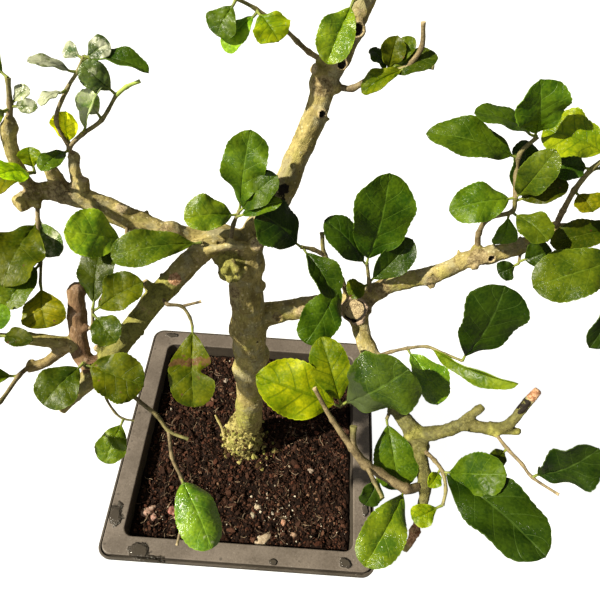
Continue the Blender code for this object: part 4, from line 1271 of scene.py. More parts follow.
print("limb guide has", len(LIMB_GUIDE), "places")

# %% [markdown]
# All the tubes, stubs and lumps are poured together. A voxel remesh measures the
# whole on a fine grid and wraps one closed skin round it. A few passes of smoothing
# then soften each fork, as bark does when it heals over.

# %% One skin round all the limbs
LIMB_STEP, TRUNK_SIDES, LIMB_SIDES, STUB_SIDES = 3.0, 20, 14, 12
VOXEL = 0.66
SMOOTHING_PASSES = 4
ROOT_DEPTH, ROOT_WIDTH = 30.0, 7.4

# Swellings where limbs part and over old wounds: middle, radius
SWELLINGS = [((1, 10, 212), 8.4), ((-4, 11, 218), 6.6), ((-8, 9, 217), 5.0), ((1, 5, 172), 9.0),
             ((50, 8, 191), 5.4), ((54, 9, 194), 4.6), ((-29, 12, 225), 5.1), ((-16, 5, 223), 5.3),
             ((28, 46, 275), 5.2), ((36, 50, 293), 4.7), ((77, -43, 171), 4.8), ((79, -47, 169), 4.2),
             ((-50, -38, 200), 4.6), ((-70, 15, 240), 4.4), ((103, 17, 220), 4.2), ((82, 14, 209), 4.1),
             ((104, -46, 187), 3.0), ((79, -76, 150), 2.5), ((-5, 1, 76), 8.6), ((0, 2, 102), 8.0),
             ((3, 4, 150), 8.5), ((-59, -19, 222), 3.6), ((-3, 4, 215), 5.6), ((-6, 5, 211), 4.2),
             ((-6, -1, 219), 1.9), ((-1, -1, 220), 1.8), ((-4, -2, 215), 1.8), ((0, -1, 216), 1.6),
             ((-7, 1, 216), 1.8), ((-3, 1, 222), 1.8), ((2, 1, 218), 1.7)]

# Buds and old leaf scars that stand out a little: limb, share of its length, angle round it, length, radius
BUDS = [("right_limb", 0.36, 100, 2.4, 1.3), ("right_limb", 0.47, 60, 2.2, 1.1),
        ("right_limb", 0.55, 190, 2.6, 1.2), ("right_limb", 0.63, 90, 2.8, 1.0),
        ("right_limb", 0.72, 150, 2.4, 1.1), ("right_limb", 0.80, 70, 2.2, 0.9),
        ("left_limb", 0.30, 100, 2.4, 1.2), ("left_limb", 0.44, 200, 2.2, 1.1),
        ("left_limb", 0.62, 80, 2.6, 1.2), ("left_limb", 0.84, 120, 2.4, 1.1),
        ("front_limb", 0.36, 160, 2.4, 1.2), ("front_limb", 0.58, 60, 2.2, 1.2),
        ("leader", 0.34, 210, 2.6, 1.3), ("leader", 0.52, 330, 2.2, 1.1), ("leader", 0.70, 170, 2.6, 1.1),
        ("front_right_limb", 0.30, 120, 2.4, 1.1), ("front_right_limb", 0.52, 260, 2.6, 1.0),
        ("front_right_limb", 0.74, 80, 1.8, 0.8), ("side_limb", 0.40, 100, 1.8, 0.9),
        ("trunk", 0.55, 250, 2.0, 1.6), ("trunk", 0.42, 60, 1.8, 1.5), ("trunk", 0.68, 330, 2.0, 1.6),
        ("trunk", 0.80, 190, 2.2, 1.8)]


def bud_places(limb, share, angle, length, radius):
    """A short blunt cone that stands on a limb's bark."""
    number = [entry[0] for entry in LIMBS].index(limb)
    steps = [entry for entry in LIMB_GUIDE if entry[6] == number]
    place, thick, ahead, across, beside, _, _ = steps[round(share * (len(steps) - 1))]
    turn = math.radians(angle)
    out = (across * math.cos(turn) + beside * math.sin(turn) + ahead * 0.35).normalized()
    foot = place + out * (thick - 1.0)
    return [(foot, radius * 1.5), (foot + out * (1.0 + length * 0.45), radius),
            (foot + out * (1.0 + length), radius * 0.5)]


def make_wood():
    pour = Pour()
    for number, (_, route, radii) in enumerate(LIMBS):
        sides = TRUNK_SIDES if max(radii) > 5.0 else LIMB_SIDES
        pour.tube(smooth_route(route, radii, LIMB_STEP), sides, 0.16, number * 3.7)
    foot = Vector(LIMBS[0][1][0])
    pour.tube([(foot + Vector((0, 0, -ROOT_DEPTH)), ROOT_WIDTH), (foot + Vector((0, 0, 9)), ROOT_WIDTH)], 16)
    for number, (_, _, foot, direction, length, radius) in enumerate(STUBS):
        start = Vector(foot)
        end = start + Vector(direction).normalized() * length
        places = [(start, radius * 1.25), (start.lerp(end, 0.72), radius * 1.14), (end, radius)]
        pour.tube(places, STUB_SIDES, 0.2, number * 2.3)
    for _, radius, twigs, _ in SPRAYS:
        start = Vector(twigs["a"][0])
        ahead = (Vector(twigs["a"][1]) - start).normalized()
        reach = socket_length(twigs["a"])
        places = [(start, radius * 1.7), (start + ahead * (reach - 1.6), radius * 1.2),
                  (start + ahead * reach, radius * 0.85)]
        pour.tube(places, 10, 0.1)
    for bud in BUDS:
        pour.tube(bud_places(*bud), 8)
    for middle, radius in SWELLINGS:
        pour.ball(middle, radius)
    wood = pour.piece("wood_skin")
    skin = wood.modifiers.new("One skin", "REMESH")
    skin.mode = "VOXEL"
    skin.voxel_size = VOXEL * MM
    return applied(wood)


def relax(piece, passes, strength=0.5):
    """Move every point part of the way to the middle of its neighbours, several times."""
    mesh = piece.data
    places = np.empty(len(mesh.vertices) * 3)
    mesh.vertices.foreach_get("co", places)
    places = places.reshape(-1, 3)
    ends = np.empty(len(mesh.edges) * 2, dtype=np.int64)
    mesh.edges.foreach_get("vertices", ends)
    ends = ends.reshape(-1, 2)
    links = np.bincount(ends.ravel(), minlength=len(places))[:, None]
    for _ in range(passes):
        total = np.zeros_like(places)
        np.add.at(total, ends[:, 0], places[ends[:, 1]])
        np.add.at(total, ends[:, 1], places[ends[:, 0]])
        places += (total / links - places) * strength
    mesh.vertices.foreach_set("co", places.ravel())
    mesh.update()


wood = make_wood()
relax(wood, SMOOTHING_PASSES)
print("wood skin has", len(wood.data.vertices), "points")

# %% [markdown]
# Bark, cut faces, hollow rotted stubs and crusty knots differ by place. So each point
# of the skin gets a few numbers: how much it belongs to a pale cut face, to a dark
# hollow or rotten spot, to a rough brown patch, to green algae or orange lichen, to
# the mossy foot, to the rusty dead upright and to the young sucker, and how far out
# it lies on the healed scar. Another three numbers say where it lies across and
# along its limb, so that streaks can follow the grain round every bend.

# %% Marks on the wood
def eased(values, start, end):
    """A soft step for a whole array: 0 at start, 1 at end."""
    share = np.clip((values - start) / (end - start), 0.0, 1.0)
    return share * share * (3 - 2 * share)


def point_places(mesh):
    places = np.empty(len(mesh.vertices) * 3)
    mesh.vertices.foreach_get("co", places)
    return places.reshape(-1, 3) / MM


# Rough brown patches: middle, reach, strength
ROUGH_PATCHES = [((-5, 4, 223), 9, 0.9), ((-3, 2, 215), 8, 1.0), ((-8, 7, 214), 8, 0.9),
                 ((8, 20, 228), 7, 0.6), ((-9, 6, 207), 6, 0.8), ((1, 2, 197), 6, 0.4),
                 ((28, 44, 276), 7, 0.9), ((33, 45, 287), 7, 0.7), ((38, 48, 299), 7, 0.5),
                 ((54, 6, 194), 8, 0.9), ((61, 11, 200), 7, 0.8), ((98, 15, 219), 8, 0.8),
                 ((81, 11, 208), 6, 0.7), ((112, 18, 224), 6, 0.6), ((-30, 9, 226), 8, 0.8),
                 ((-50, 12, 233), 6, 0.5), ((-70, 14, 242), 9, 0.8), ((-80, 12, 243), 8, 0.7),
                 ((-31, -13, 215), 6, 0.8), ((-50, -38, 200), 9, 0.8), ((-16, 3, 221), 8, 0.7),
                 ((77, -44, 171), 8, 0.7), ((80, -54, 165), 6, 0.7), ((79, -76, 150), 6, 0.9),
                 ((96, -43, 184), 6, 0.7), ((-3, -3, 150), 7, 0.3), ((-8, -1, 122), 7, 0.5),
                 ((-9, -2, 96), 6, 0.3), ((-4, 1, 202), 5, 1.0), ((-5, 1, 194), 5, 1.0),
                 ((15, 4, 183), 4, 0.8), ((26, 5, 187), 5, 0.7), ((7, -1, 176), 5, 0.5)]
# Green algae on shaded or damp lengths, and two spots of orange lichen: middle, reach, strength
ALGAE = [((-30, -12, 214), 13, 0.8), ((-44, -30, 204), 13, 0.9), ((96, -44, 184), 13, 0.6),
         ((112, -42, 195), 10, 0.7), ((66, -28, 178), 10, 0.5), ((-3, 2, 150), 18, 0.3),
         ((-5, 0, 100), 20, 0.5), ((70, 12, 204), 14, 0.35), ((-5, 2, 217), 10, 0.8),
         ((-37, -26, 210), 11, 0.85), ((-42, -33, 206), 10, 0.85), ((80, -52, 169), 14, 1.3),
         ((81, -64, 160), 14, 1.3), ((71, -37, 174), 13, 1.25), ((86, -43, 180), 14, 1.3),
         ((96, -43, 186), 13, 1.3), ((108, -43, 192), 11, 1.2)]
ORANGE_LICHEN = [((-24, -9, 221), 3.6, 0.9), ((-29, -13, 217), 2.6, 0.7), ((79, -76, 150), 9.0, 0.75),
                 ((116.8, -38.0, 204.2), 5.5, 1.0)]
RUSTY_LIMBS = {"left_upright": 0.85, "left_arm_stub": 0.35}
MOSS_TOP, SUCKER_CLEAR = 112.0, -12.5

# Rotten spots, and clefts painted near black as painted shade: middle, reach, strength
ROTTEN_SPOTS = [((13, 24, 235), 7.0, 0.62), ((15, 25, 241), 3.0, 0.9), ((-3, 4, 217), 7.0, 0.30),
                ((-7, 4, 211), 4.0, 0.42), ((6, -2, 171), 1.6, 0.55), ((62, 9, 202), 3.0, 0.40),
                ((57, 6, 198), 3.0, 0.36), ((-4, 0, 198), 4.0, 0.36), ((15, 4, 183), 1.6, 0.50),
                ((113.2, -41.6, 199.0), 4.6, 0.66), ((-4, -2, 218), 1.5, 0.6), ((-1, -2, 218), 1.4, 0.6),
                ((-6, -1, 217), 1.5, 0.55)]


def mark_ends(places, pushed):
    """Cut faces and hollows at the stubs' ends; hollows are also pushed in, and a scar gets its ring."""
    cut, dark, crust = np.zeros(len(places)), np.zeros(len(places)), np.zeros(len(places))
    scar = np.full(len(places), 2.0)
    for _, kind, foot, direction, length, radius in STUBS:
        ahead = np.array(Vector(direction).normalized())
        offset = places - (np.array(foot) + ahead * length)
        depth = offset @ ahead
        ring = np.linalg.norm(offset - depth[:, None] * ahead, axis=1) / radius
        at_end = eased(depth, -1.6, -0.7) * (depth < 1.5) * (ring < 1.4)
        if kind == "hollow":
            inside = at_end * eased(ring, 0.86, 0.62)
            dark = np.maximum(dark, inside)
            cut = np.maximum(cut, at_end * eased(ring, 1.25, 0.95) * 0.75)
            pushed -= inside[:, None] * ahead * 1.9
        elif kind == "scar":
            scar = np.where(at_end > 0.0, ring, scar)
            cut = np.maximum(cut, at_end * eased(ring, 0.86, 0.76))
            rim = at_end * eased(np.abs(ring - 1.0), 0.30, 0.10)
            crust = np.maximum(crust, rim)
            pushed += (rim * 0.8 - at_end * eased(np.abs(ring - 0.80), 0.16, 0.05) * 0.5)[:, None] * ahead
        elif kind == "cut":
            cut = np.maximum(cut, at_end * eased(ring, 1.0, 0.75) * 0.9)
        else:
            dark = np.maximum(dark, at_end * eased(ring, 0.5, 0.2) * 0.6)
            pushed -= (at_end * eased(ring, 0.7, 0.2) * 0.7)[:, None] * ahead
    return cut, dark, crust, scar


def mark_wood(piece):
    mesh = piece.data
    places = point_places(mesh)
    pushed = np.zeros_like(places)
    cut, dark, rough, scar = mark_ends(places, pushed)
    rusty, young, grain = np.zeros(len(places)), np.zeros(len(places)), np.zeros((len(places), 3))
    for middle, reach, strength in ROUGH_PATCHES:
        away = np.linalg.norm(places - np.array(middle), axis=1)
        rough = np.maximum(rough, strength * eased(away, reach, reach * 0.35))
    algae, orange = np.zeros(len(places)), np.zeros(len(places))
    for patches, values in ((ALGAE, algae), (ORANGE_LICHEN, orange)):
        for middle, reach, strength in patches:
            away = np.linalg.norm(places - np.array(middle), axis=1)
            np.maximum(values, strength * eased(away, reach, reach * 0.4), out=values)
    for middle, reach, strength in ROTTEN_SPOTS:
        near = np.flatnonzero(np.linalg.norm(places - np.array(middle), axis=1) < reach * 1.5)
        for index in near:
            ragged = 1.0 + 0.6 * noise.noise(Vector(places[index]) * 0.55)
            away = np.linalg.norm(places[index] - np.array(middle)) * ragged
            dark[index] = max(dark[index], strength * eased(away, reach, reach * 0.5))
    names = [limb[0] for limb in LIMBS]
    for index, place in enumerate(places):
        middle, _, ahead, across, beside, run, number = LIMB_GUIDE[LIMB_TREE.find(place)[1]]
        offset = Vector(place) - middle
        grain[index] = (offset.dot(across) + 31.0 * number, offset.dot(beside), run + offset.dot(ahead))
        rusty[index] = RUSTY_LIMBS.get(names[number], 0.0)
        young[index] = names[number] == "sucker" and place[0] < SUCKER_CLEAR
    mesh.vertices.foreach_set("co", ((places + pushed) * MM).ravel())
    foot = np.array(TRUNK_FOOT)
    away = np.hypot(places[:, 0] - foot[0], places[:, 1] - foot[1])
    marks = {"cut": cut, "dark": dark, "rough": rough, "scar": scar, "rusty": rusty, "young": young,
             "algae": algae, "orange": orange}
    for name, values in marks.items():
        keep_values(mesh, name, values)
    side = eased(places[:, 0], 6.0, -6.0)
    climb = places[:, 2] - 16.0 * side
    keep_values(mesh, "moss", eased(climb, MOSS_TOP, 60.0) * (away < 25) * (1.0 - young))
    layer = mesh.attributes.new("grain", "FLOAT_VECTOR", "POINT")
    layer.data.foreach_set("vector", (grain * MM).astype(np.float32).ravel())
    mesh.update()


mark_wood(wood)

# %% [markdown]
# Bark is never smooth to the touch. One Geometry Nodes tree raises and sinks the skin
# along its own normals: broad lumps, finer ridges that follow the grain, and crusty
# crumbs where the wood is marked rough. It leaves the cut faces nearly flat.

# %% The relief tree for bark
def relief_noise(place, size, height):
    """Noise about a middle of nothing, height millimetres from top to bottom."""
    wavy = noise_of(place, size, 2.0) - 0.5
    return wavy * (height * MM)


def named_value(tree, name, kind="FLOAT"):
    return flow_of(tree, "GeometryNodeInputNamedAttribute", {"Name": name}, data_type=kind)


def make_relief_tree():
    tree, start = new_tree("bark_relief", {"Skin": "Geometry"}, Lump_height=1.4, Grain_height=0.8,
                           Crumb_height=2.0, Wrinkle_height=0.7)
    place = flow_of(tree, "GeometryNodeInputPosition")
    normal = flow_of(tree, "GeometryNodeInputNormal")
    grain = vector_maths("MULTIPLY", named_value(tree, "grain", "FLOAT_VECTOR"), (1.0, 1.0, 0.28))
    lumps = relief_noise(place, 5.5, start["Lump height"])
    ridges = relief_noise(grain, 1.9, start["Grain height"])
    crumbs = relief_noise(place, 1.7, start["Crumb height"])
    across = vector_maths("MULTIPLY", named_value(tree, "grain", "FLOAT_VECTOR"), (0.25, 0.25, 1.0))
    wrinkled = fade(noise_of(place, 13.0, 2.0), 0.42, 0.58)
    wrinkles = relief_noise(across, 1.9, start["Wrinkle height"]) * wrinkled
    crusty = crumbs * maths("MAXIMUM", named_value(tree, "rough"), named_value(tree, "moss"))
    ends = maths("MAXIMUM", named_value(tree, "cut"), named_value(tree, "dark"))
    bark = 1.0 - ends * 0.8
    height = lumps + ridges + (wrinkles + crusty)
    moved = flow_of(tree, "GeometryNodeSetPosition", {"Geometry": start["Skin"],
                                                      "Offset": scaled(normal, height * bark)})
    real = flow_of(tree, "GeometryNodeRealizeInstances", {0: moved})
    painted = flow_of(tree, "GeometryNodeSetMaterial", {"Geometry": real, "Material": start["Finish"]})
    return put_out(tree, painted)


RELIEF = make_relief_tree()

# %% [markdown]
# The bark of this tree is cream and olive, in soft patches that run a little along
# each limb. It breaks into pinkish brown crust at the knots and forks, has pale
# corky specks and dark pores, and turns green with algae low down. Cut faces are the
# colour of dry straw with fine dark cracks, and the rotted stubs are nearly black.

# %% Bark finish
def bark_color(place, grain):
    """The healthy bark: patches, grey film, stains, streaks and wrinkles, specks and pores."""
    along = vector_maths("MULTIPLY", grain, (1.0, 1.0, 0.5))
    across = vector_maths("MULTIPLY", grain, (0.25, 0.25, 1.0))
    color = mix_colors(mottle(along, 6.0, 1.0), (0.25, 0.205, 0.062), (0.64, 0.525, 0.2))
    film = fade(noise_of(place, 9.0, 3.0), 0.48, 0.6, 0.0, 0.65)
    color = mix_colors(film, color, (0.37, 0.345, 0.215))
    stains = fade(noise_of(along, 4.0, 5.0, 0.68), 0.55, 0.64, 0.0, 0.6)
    color = mix_colors(stains, color, (0.175, 0.13, 0.045))
    streaks = noise_of(vector_maths("MULTIPLY", grain, (1.0, 1.0, 0.2)), 1.3, 3.0, 0.6)
    color = mix_colors(fade(streaks, 0.42, 0.3, 0.0, 0.5), color, (0.19, 0.14, 0.05))
    wrinkled = fade(noise_of(place, 13.0, 2.0), 0.42, 0.58, 0.0, 0.7)
    lines = fade(noise_of(across, 1.4, 2.0), 0.4, 0.3)
    color = mix_colors(lines * wrinkled, color, (0.16, 0.11, 0.042))
    greenish = fade(noise_of(place, 14.0, 2.0), 0.54, 0.68, 0.0, 0.6)
    color = mix_colors(greenish, color, (0.33, 0.31, 0.06))
    crackled = fade(noise_of(place, 1.1, 5.0, 0.75), 0.5, 0.62, 0.0, 0.42)
    color = mix_colors(crackled, color, (0.17, 0.12, 0.04))
    corky = flecks(place, 1.9, 0.38, 0.34)
    color = mix_colors(corky * 0.6, color, (0.78, 0.68, 0.39))
    pores = flecks(place, 1.5, 0.2, 0.27)
    return mix_colors(pores * 0.65, color, (0.1, 0.06, 0.026))


def crust_on(tree, color, place):
    """Brown crust at knots, moss at the foot, and rust on the dead upright."""
    grainy = noise_of(place, 1.5, 4.0, 0.7)
    spread = attribute_of(tree, "rough") + (grainy - 0.5) * 1.6
    crust = mix_colors(fade(grainy, 0.4, 0.62), (0.125, 0.08, 0.034), (0.47, 0.37, 0.19))
    color = mix_colors(fade(spread, 0.42, 0.62, 0.0, 0.85), color, crust)
    moss = mix_colors(fade(grainy, 0.38, 0.6), (0.11, 0.082, 0.02), (0.47, 0.42, 0.13))
    mossy = attribute_of(tree, "moss") + (grainy - 0.6)
    color = mix_colors(fade(mossy, 0.25, 0.55, 0.0, 0.9), color, moss)
    velvet = mix_colors(fade(grainy, 0.35, 0.65), (0.135, 0.135, 0.022), (0.385, 0.38, 0.078))
    spread = attribute_of(tree, "algae") + (grainy - 0.5)
    velvet = mix_colors(fade(spread, 0.85, 1.1), velvet, times(velvet, 0.42, 0.42, 0.5))
    color = mix_colors(fade(spread, 0.2, 0.6, 0.0, 0.85), color, velvet)
    lichen = mix_colors(fade(grainy, 0.4, 0.6), (0.32, 0.13, 0.06), (0.78, 0.46, 0.27))
    spread = attribute_of(tree, "orange") + (grainy - 0.5)
    color = mix_colors(fade(spread, 0.35, 0.55, 0.0, 0.9), color, lichen)
    fresh = mix_colors(grainy, (0.3, 0.24, 0.08), (0.64, 0.56, 0.24))
    color = mix_colors(attribute_of(tree, "young"), color, fresh)
    rust = mix_colors(grainy, (0.085, 0.035, 0.02), (0.29, 0.15, 0.085))
    flaky = fade(noise_of(place, 3.0, 4.0, 0.7), 0.54, 0.62, 0.0, 0.6)
    rust = mix_colors(flaky, rust, (0.4, 0.27, 0.2))
    return mix_colors(attribute_of(tree, "rusty"), color, rust)


SCAR_MIDDLE = (48.7, 0.0, 196.0)


def scar_marks(tree, place):
    """Painted shade in the groove between a healed scar's wood and the bark, widest at its lower right, and
    the pink rim.
    """
    wobble = (noise_of(place, 2.4, 3.0) - 0.5) * 0.3
    ring = attribute_of(tree, "scar") + wobble
    x, _, z = parts_of(place)
    right = x - SCAR_MIDDLE[0] * MM
    lower = SCAR_MIDDLE[2] * MM - z
    side = fade(right + lower * 0.7, -4.0 * MM, 3.0 * MM, 0.35, 1.0)
    painted_groove_shade = abs(ring - 0.8)
    # Painted shade: the groove is painted near black, more of it towards the lower right.
    painted_groove_shade = fade(painted_groove_shade / side, 0.13, 0.06) * fade(side, 0.4, 0.55)
    rim = fade(abs(ring - 1.02), 0.16, 0.08)
    return painted_groove_shade, rim


def make_bark():
    material, tree, shader = new_material("olive_bark")
    place = place_of(tree)
    grain = attribute_of(tree, "grain", "Vector")
    color = crust_on(tree, bark_color(place, grain), place)
    straw = mix_colors(noise_of(place, 1.1, 4.0), (0.42, 0.3, 0.15), (0.72, 0.6, 0.37))
    cracks = fade(net_of(place, 1.3), 0.12, 0.02, 0.0, 0.85) * fade(noise_of(place, 1.8), 0.42, 0.56)
    straw = mix_colors(cracks, straw, (0.13, 0.075, 0.035))
    color = mix_colors(attribute_of(tree, "cut"), color, straw)
    painted_groove_shade, rim = scar_marks(tree, place)
    flaky = mix_colors(noise_of(place, 0.9, 4.0), (0.33, 0.2, 0.14), (0.76, 0.6, 0.48))
    color = mix_colors(rim * 0.8, color, flaky)
    ragged = (noise_of(place, 1.6, 4.0, 0.7) - 0.5) * 1.1
    dark = fade(attribute_of(tree, "dark") + ragged, 0.46, 0.62)
    # Near black: rotted wood, and painted shade in the clefts and in the scar's groove.
    color = mix_colors(maths("MAXIMUM", dark, painted_groove_shade), color, (0.014, 0.009, 0.005))
    fine = noise_of(vector_maths("MULTIPLY", grain, (1.0, 1.0, 0.4)), 0.8, 5.0, 0.68)
    coarse = noise_of(place, 0.6, 4.0, 0.7) * attribute_of(tree, "rough")
    height = fine + coarse
    connect(tree, shader, Base_Color=color, Roughness=fade(fine, 0.3, 0.7, 0.55, 0.85),
            Specular_IOR_Level=0.3, Normal=bump_of(height, 0.6, 0.9))
    return material


wood = run_tree(wood, RELIEF, Finish=make_bark())
wood.data.shade_smooth()
finish_piece(wood, "bark", "wood")

# %% [markdown]
# ## Moss and lichen at the foot
#
# A crumbly yellow-green crust of moss and lichen climbs the foot of the trunk and
# spreads a little over the soil. It is made like the soil's crumbs: the scatter tree
# covers the marked part of the bark and a low ring of the soil with small lumps. A
# few stray pieces of pale lichen lie in front of it.

# %% Moss
MOSS_REACH = 16.5
LICHEN_TRAIL = [(16.0, -3.0, 2.5), (13.5, -6.5, 2.0), (10.5, -11.0, 2.2), (7.5, -15.0, 1.6)]


def moss_finish():
    material, tree, shader = new_material("crumbly_moss")
    place = place_of(tree)
    shade = attribute_of(tree, "shade") ** 1.5
    color = mix_colors(shade, (0.1, 0.078, 0.018), (0.56, 0.49, 0.18))
    greener = fade(noise_of(place, 6.0), 0.45, 0.65, 0.0, 0.6)
    color = mix_colors(greener, color, (0.3, 0.32, 0.06))
    # Painted shade: the darkest lumps are turned near black, for the shade in the gaps among the lumps.
    color = mix_colors(fade(shade, 0.12, 0.07, 0.0, 0.9), color, (0.06, 0.032, 0.012))
    connect(tree, shader, Base_Color=color, Roughness=0.9, Specular_IOR_Level=0.2,
            Normal=bump_of(noise_of(place, 0.5, 4.0, 0.7), 0.3, 0.9))
    return material


def foot_cover(piece):
    """The part of the bark that the moss covers, as ground for the scatter tree."""
    ground = bpy.data.objects.new("moss_ground", piece.data.copy())
    bpy.context.scene.collection.objects.link(ground)
    places = point_places(ground.data)
    ragged = np.array([noise.noise(Vector(place) * 0.16) for place in places])
    height = places[:, 2] + 9.0 * ragged
    facing = eased(places[:, 0], 9.0, 2.0)
    away = np.hypot(places[:, 0] - TRUNK_FOOT.x, places[:, 1] - TRUNK_FOOT.y)
    bare = (places[:, 0] < SUCKER_CLEAR) * (away > 12.5)
    keep_values(ground.data, "cover", eased(height, 88.0, 68.0) * (places[:, 2] > SOIL_TOP - 2.0)
                * (0.35 + 0.65 * facing)
              * (away < 24.0) * (1.0 - bare))
    return ground


def ring_cover(ground):
    """A ragged low ring of soil round the foot, and the trail of stray lichen."""
    values = []
    for vertex in ground.data.vertices:
        x, y = vertex.co.x / MM, vertex.co.y / MM
        away = math.hypot(x - TRUNK_FOOT.x, y - TRUNK_FOOT.y) + 5.0 * noise.noise(Vector((x, y, 0)) * 0.2)
        near = max(math.exp(-((x - at_x) ** 2 + (y - at_y) ** 2) / reach ** 2) for at_x, at_y,
                   reach in LICHEN_TRAIL)
        values.append(max(near * 0.6, 1.0 if away < MOSS_REACH - 3.0 else 0.0))
    keep_values(ground.data, "cover", values)


MOSS = moss_finish()
moss_lump = crumb_shape("moss_lump", 17)
bark_ground = foot_cover(wood)
ring_cover(ground)
on_bark = scatter("moss_on_bark", bark_ground, Bit=moss_lump, Finish=MOSS, Per_square_metre=6.0e5,
                  Smallest=0.35, Largest=1.9,
                  Seed=31.0)
on_soil = scatter("moss_on_soil", ground, Bit=moss_lump, Finish=MOSS, Per_square_metre=6.0e5, Smallest=0.35,
                  Largest=1.9,
                  Lift=0.0006, Seed=37.0)
bpy.data.objects.remove(bark_ground)
for piece in (on_bark, on_soil):
    finish_piece(piece, "bark")

# %% [markdown]
# ## A leaf by rule
#
# A leaf of this tree is a stiff, slightly rough blade with a blunt saw edge. All its
# leaves follow one rule, so one Geometry Nodes tree builds them all. It lays a flat
# grid at the foot of every leaf and then bends the grid: narrow at both ends, teeth
# that point forward, folded a little along the midrib, bowed along its length, with
# a wavy margin and soft pillows between the side veins. What differs from leaf to
# leaf is kept as named values on the points that stand for the leaves' feet.

# %% The leaf tree: outline and bending
BLADE_ROWS, BLADE_COLUMNS = 57, 13
SIDE_VEINS = 5.0
UNEVEN_SHARE = 0.03


def bell(value, middle, width):
    """One at the middle, falling to nothing on both sides."""
    away = (value - middle) / width
    return maths("EXPONENT", away * away * -1.0)


def flat_blade(tree):
    """A grid two wide and one long, whose points keep how far out and how far along they are."""
    grid = flow_of(tree, "GeometryNodeMeshGrid", {"Size X": 2.0, "Size Y": 1.0, "Vertices X": BLADE_COLUMNS,
                                                  "Vertices Y": BLADE_ROWS}, output="Mesh")
    place = flow_of(tree, "GeometryNodeInputPosition")
    x, y, _ = parts_of(place)
    crowded = abs(x) ** 1.5
    out = crowded * maths("SIGN", x)
    both = flow_of(tree, "ShaderNodeCombineXYZ", {0: out, 1: y + 0.5})
    kept = {"Geometry": grid, "Name": "blade", "Value": both}
    return reckon("GeometryNodeStoreNamedAttribute", kept, data_type="FLOAT_VECTOR", domain="POINT")


def blade_width(tree, out, away, along):
    """How far a point lies from the midrib: the leaf's outline, its teeth, and a tear on one side."""
    slope = along ** named_value(tree, "base")
    tip = (1.0 - along) ** named_value(tree, "tip")
    uneven = along * 8.0 + maths("SIGN", out) * 1.3 + named_value(tree, "seed") * 3.0
    wobble = 1.0 + maths("SINE", uneven) * UNEVEN_SHARE
    half = named_value(tree, "width") * slope * tip * wobble
    saw = maths("FRACT", along * named_value(tree, "teeth"))
    tooth = maths("SINE", saw * 1.9) * named_value(tree, "tooth")
    tooth = tooth * fade(along, 0.15, 0.4) * fade(along, 1.0, 0.93) * away ** 8.0
    torn = named_value(tree, "tear") * bell(along, 0.5, 0.07) * fade(out, 0.0, -0.3)
    wide = away * half + tooth
    return wide * (1.0 - torn)


def blade_lift(tree, out, away, along):
    """How high a point lies over the flat leaf: bow, drooping tip, wavy margin, pillows and midrib groove."""
    length, width = named_value(tree, "length"), named_value(tree, "width")
    bow = named_value(tree, "bow") * length * maths("SINE", along * math.pi)
    droop = named_value(tree, "droop") * length * along ** 2.6 * -1.0
    turn = along * 13.0 + out * 1.7 + named_value(tree, "seed")
    wave = named_value(tree, "wave") * width * away * away * maths("SINE", turn)
    wave = wave * fade(along, 0.0, 0.2) * fade(along, 1.0, 0.8)
    count = (along - away * 0.22) * SIDE_VEINS
    phase = count + maths("GREATER_THAN", out, 0.0) * 0.5
    pillow = abs(maths("SINE", phase * math.pi))
    rim = 1.0 - away ** 4.0
    pillows = pillow * rim * width * 0.01
    groove = bell(out, 0.0, 0.05) * (1.0 - along) * (-0.35 * MM)
    return bow + droop + wave + pillows + groove


def bent_place(tree, out, along):
    """Where a point of the flat blade ends up."""
    away = abs(out)
    wide = blade_width(tree, out, away, along)
    fold = named_value(tree, "fold") + named_value(tree, "cup") * away
    across = wide * maths("COSINE", fold) * maths("SIGN", out)
    lift = wide * maths("SINE", fold)
    twist = named_value(tree, "twist") * (along - 0.4)
    sine, cosine = maths("SINE", twist), maths("COSINE", twist)
    turned_across = across * cosine - lift * sine
    turned_lift = across * sine + lift * cosine + blade_lift(tree, out, away, along)
    blade = named_value(tree, "length") - named_value(tree, "petiole")
    ahead = named_value(tree, "petiole") + blade * along
    place = named_value(tree, "foot", "FLOAT_VECTOR")
    for name, distance in (("ahead", ahead), ("side", turned_across), ("up", turned_lift)):
        place = vector_maths("ADD", place, scaled(named_value(tree, name, "FLOAT_VECTOR"), distance))
    return place


# %% [markdown]
# The bent sheet is then given a body. It is a third of a millimetre thick, thicker
# under the midrib, with a rim that closes the edge. The faces underneath are marked,
# because a leaf is paler and duller there.

# %% The leaf tree: thickness and twigs
def join(tree, *parts):
    """Put parts into one geometry."""
    joined = tree.nodes.new("GeometryNodeJoinGeometry")
    for part in parts:
        feed(tree, joined.inputs[0], part)
    return Flow(tree, joined.outputs[0])


def thick_blade(tree, sheet, thickness):
    """Close a sheet into a thin body and mark its underside."""
    out, along, _ = parts_of(named_value(tree, "blade", "FLOAT_VECTOR"))
    keel = bell(out, 0.0, 0.06) * (1.15 - along) * (0.5 * MM)
    depth = (thickness * MM + keel) * -1.0
    pushed = add_node(tree, "GeometryNodeExtrudeMesh", {"Mesh": sheet, "Offset Scale": depth,
                                                        "Individual": False}, mode="FACES")
    marking = {"Geometry": pushed.outputs["Mesh"], "Name": "under", "Value": pushed.outputs["Top"]}
    marked = flow_of(tree, "GeometryNodeStoreNamedAttribute", marking, data_type="FLOAT", domain="FACE")
    lower = flow_of(tree, "GeometryNodeFlipFaces", {"Mesh": marked})
    whole = join(tree, lower, sheet)
    return reckon("GeometryNodeMergeByDistance", {"Geometry": whole, "Distance": 0.004 * MM})


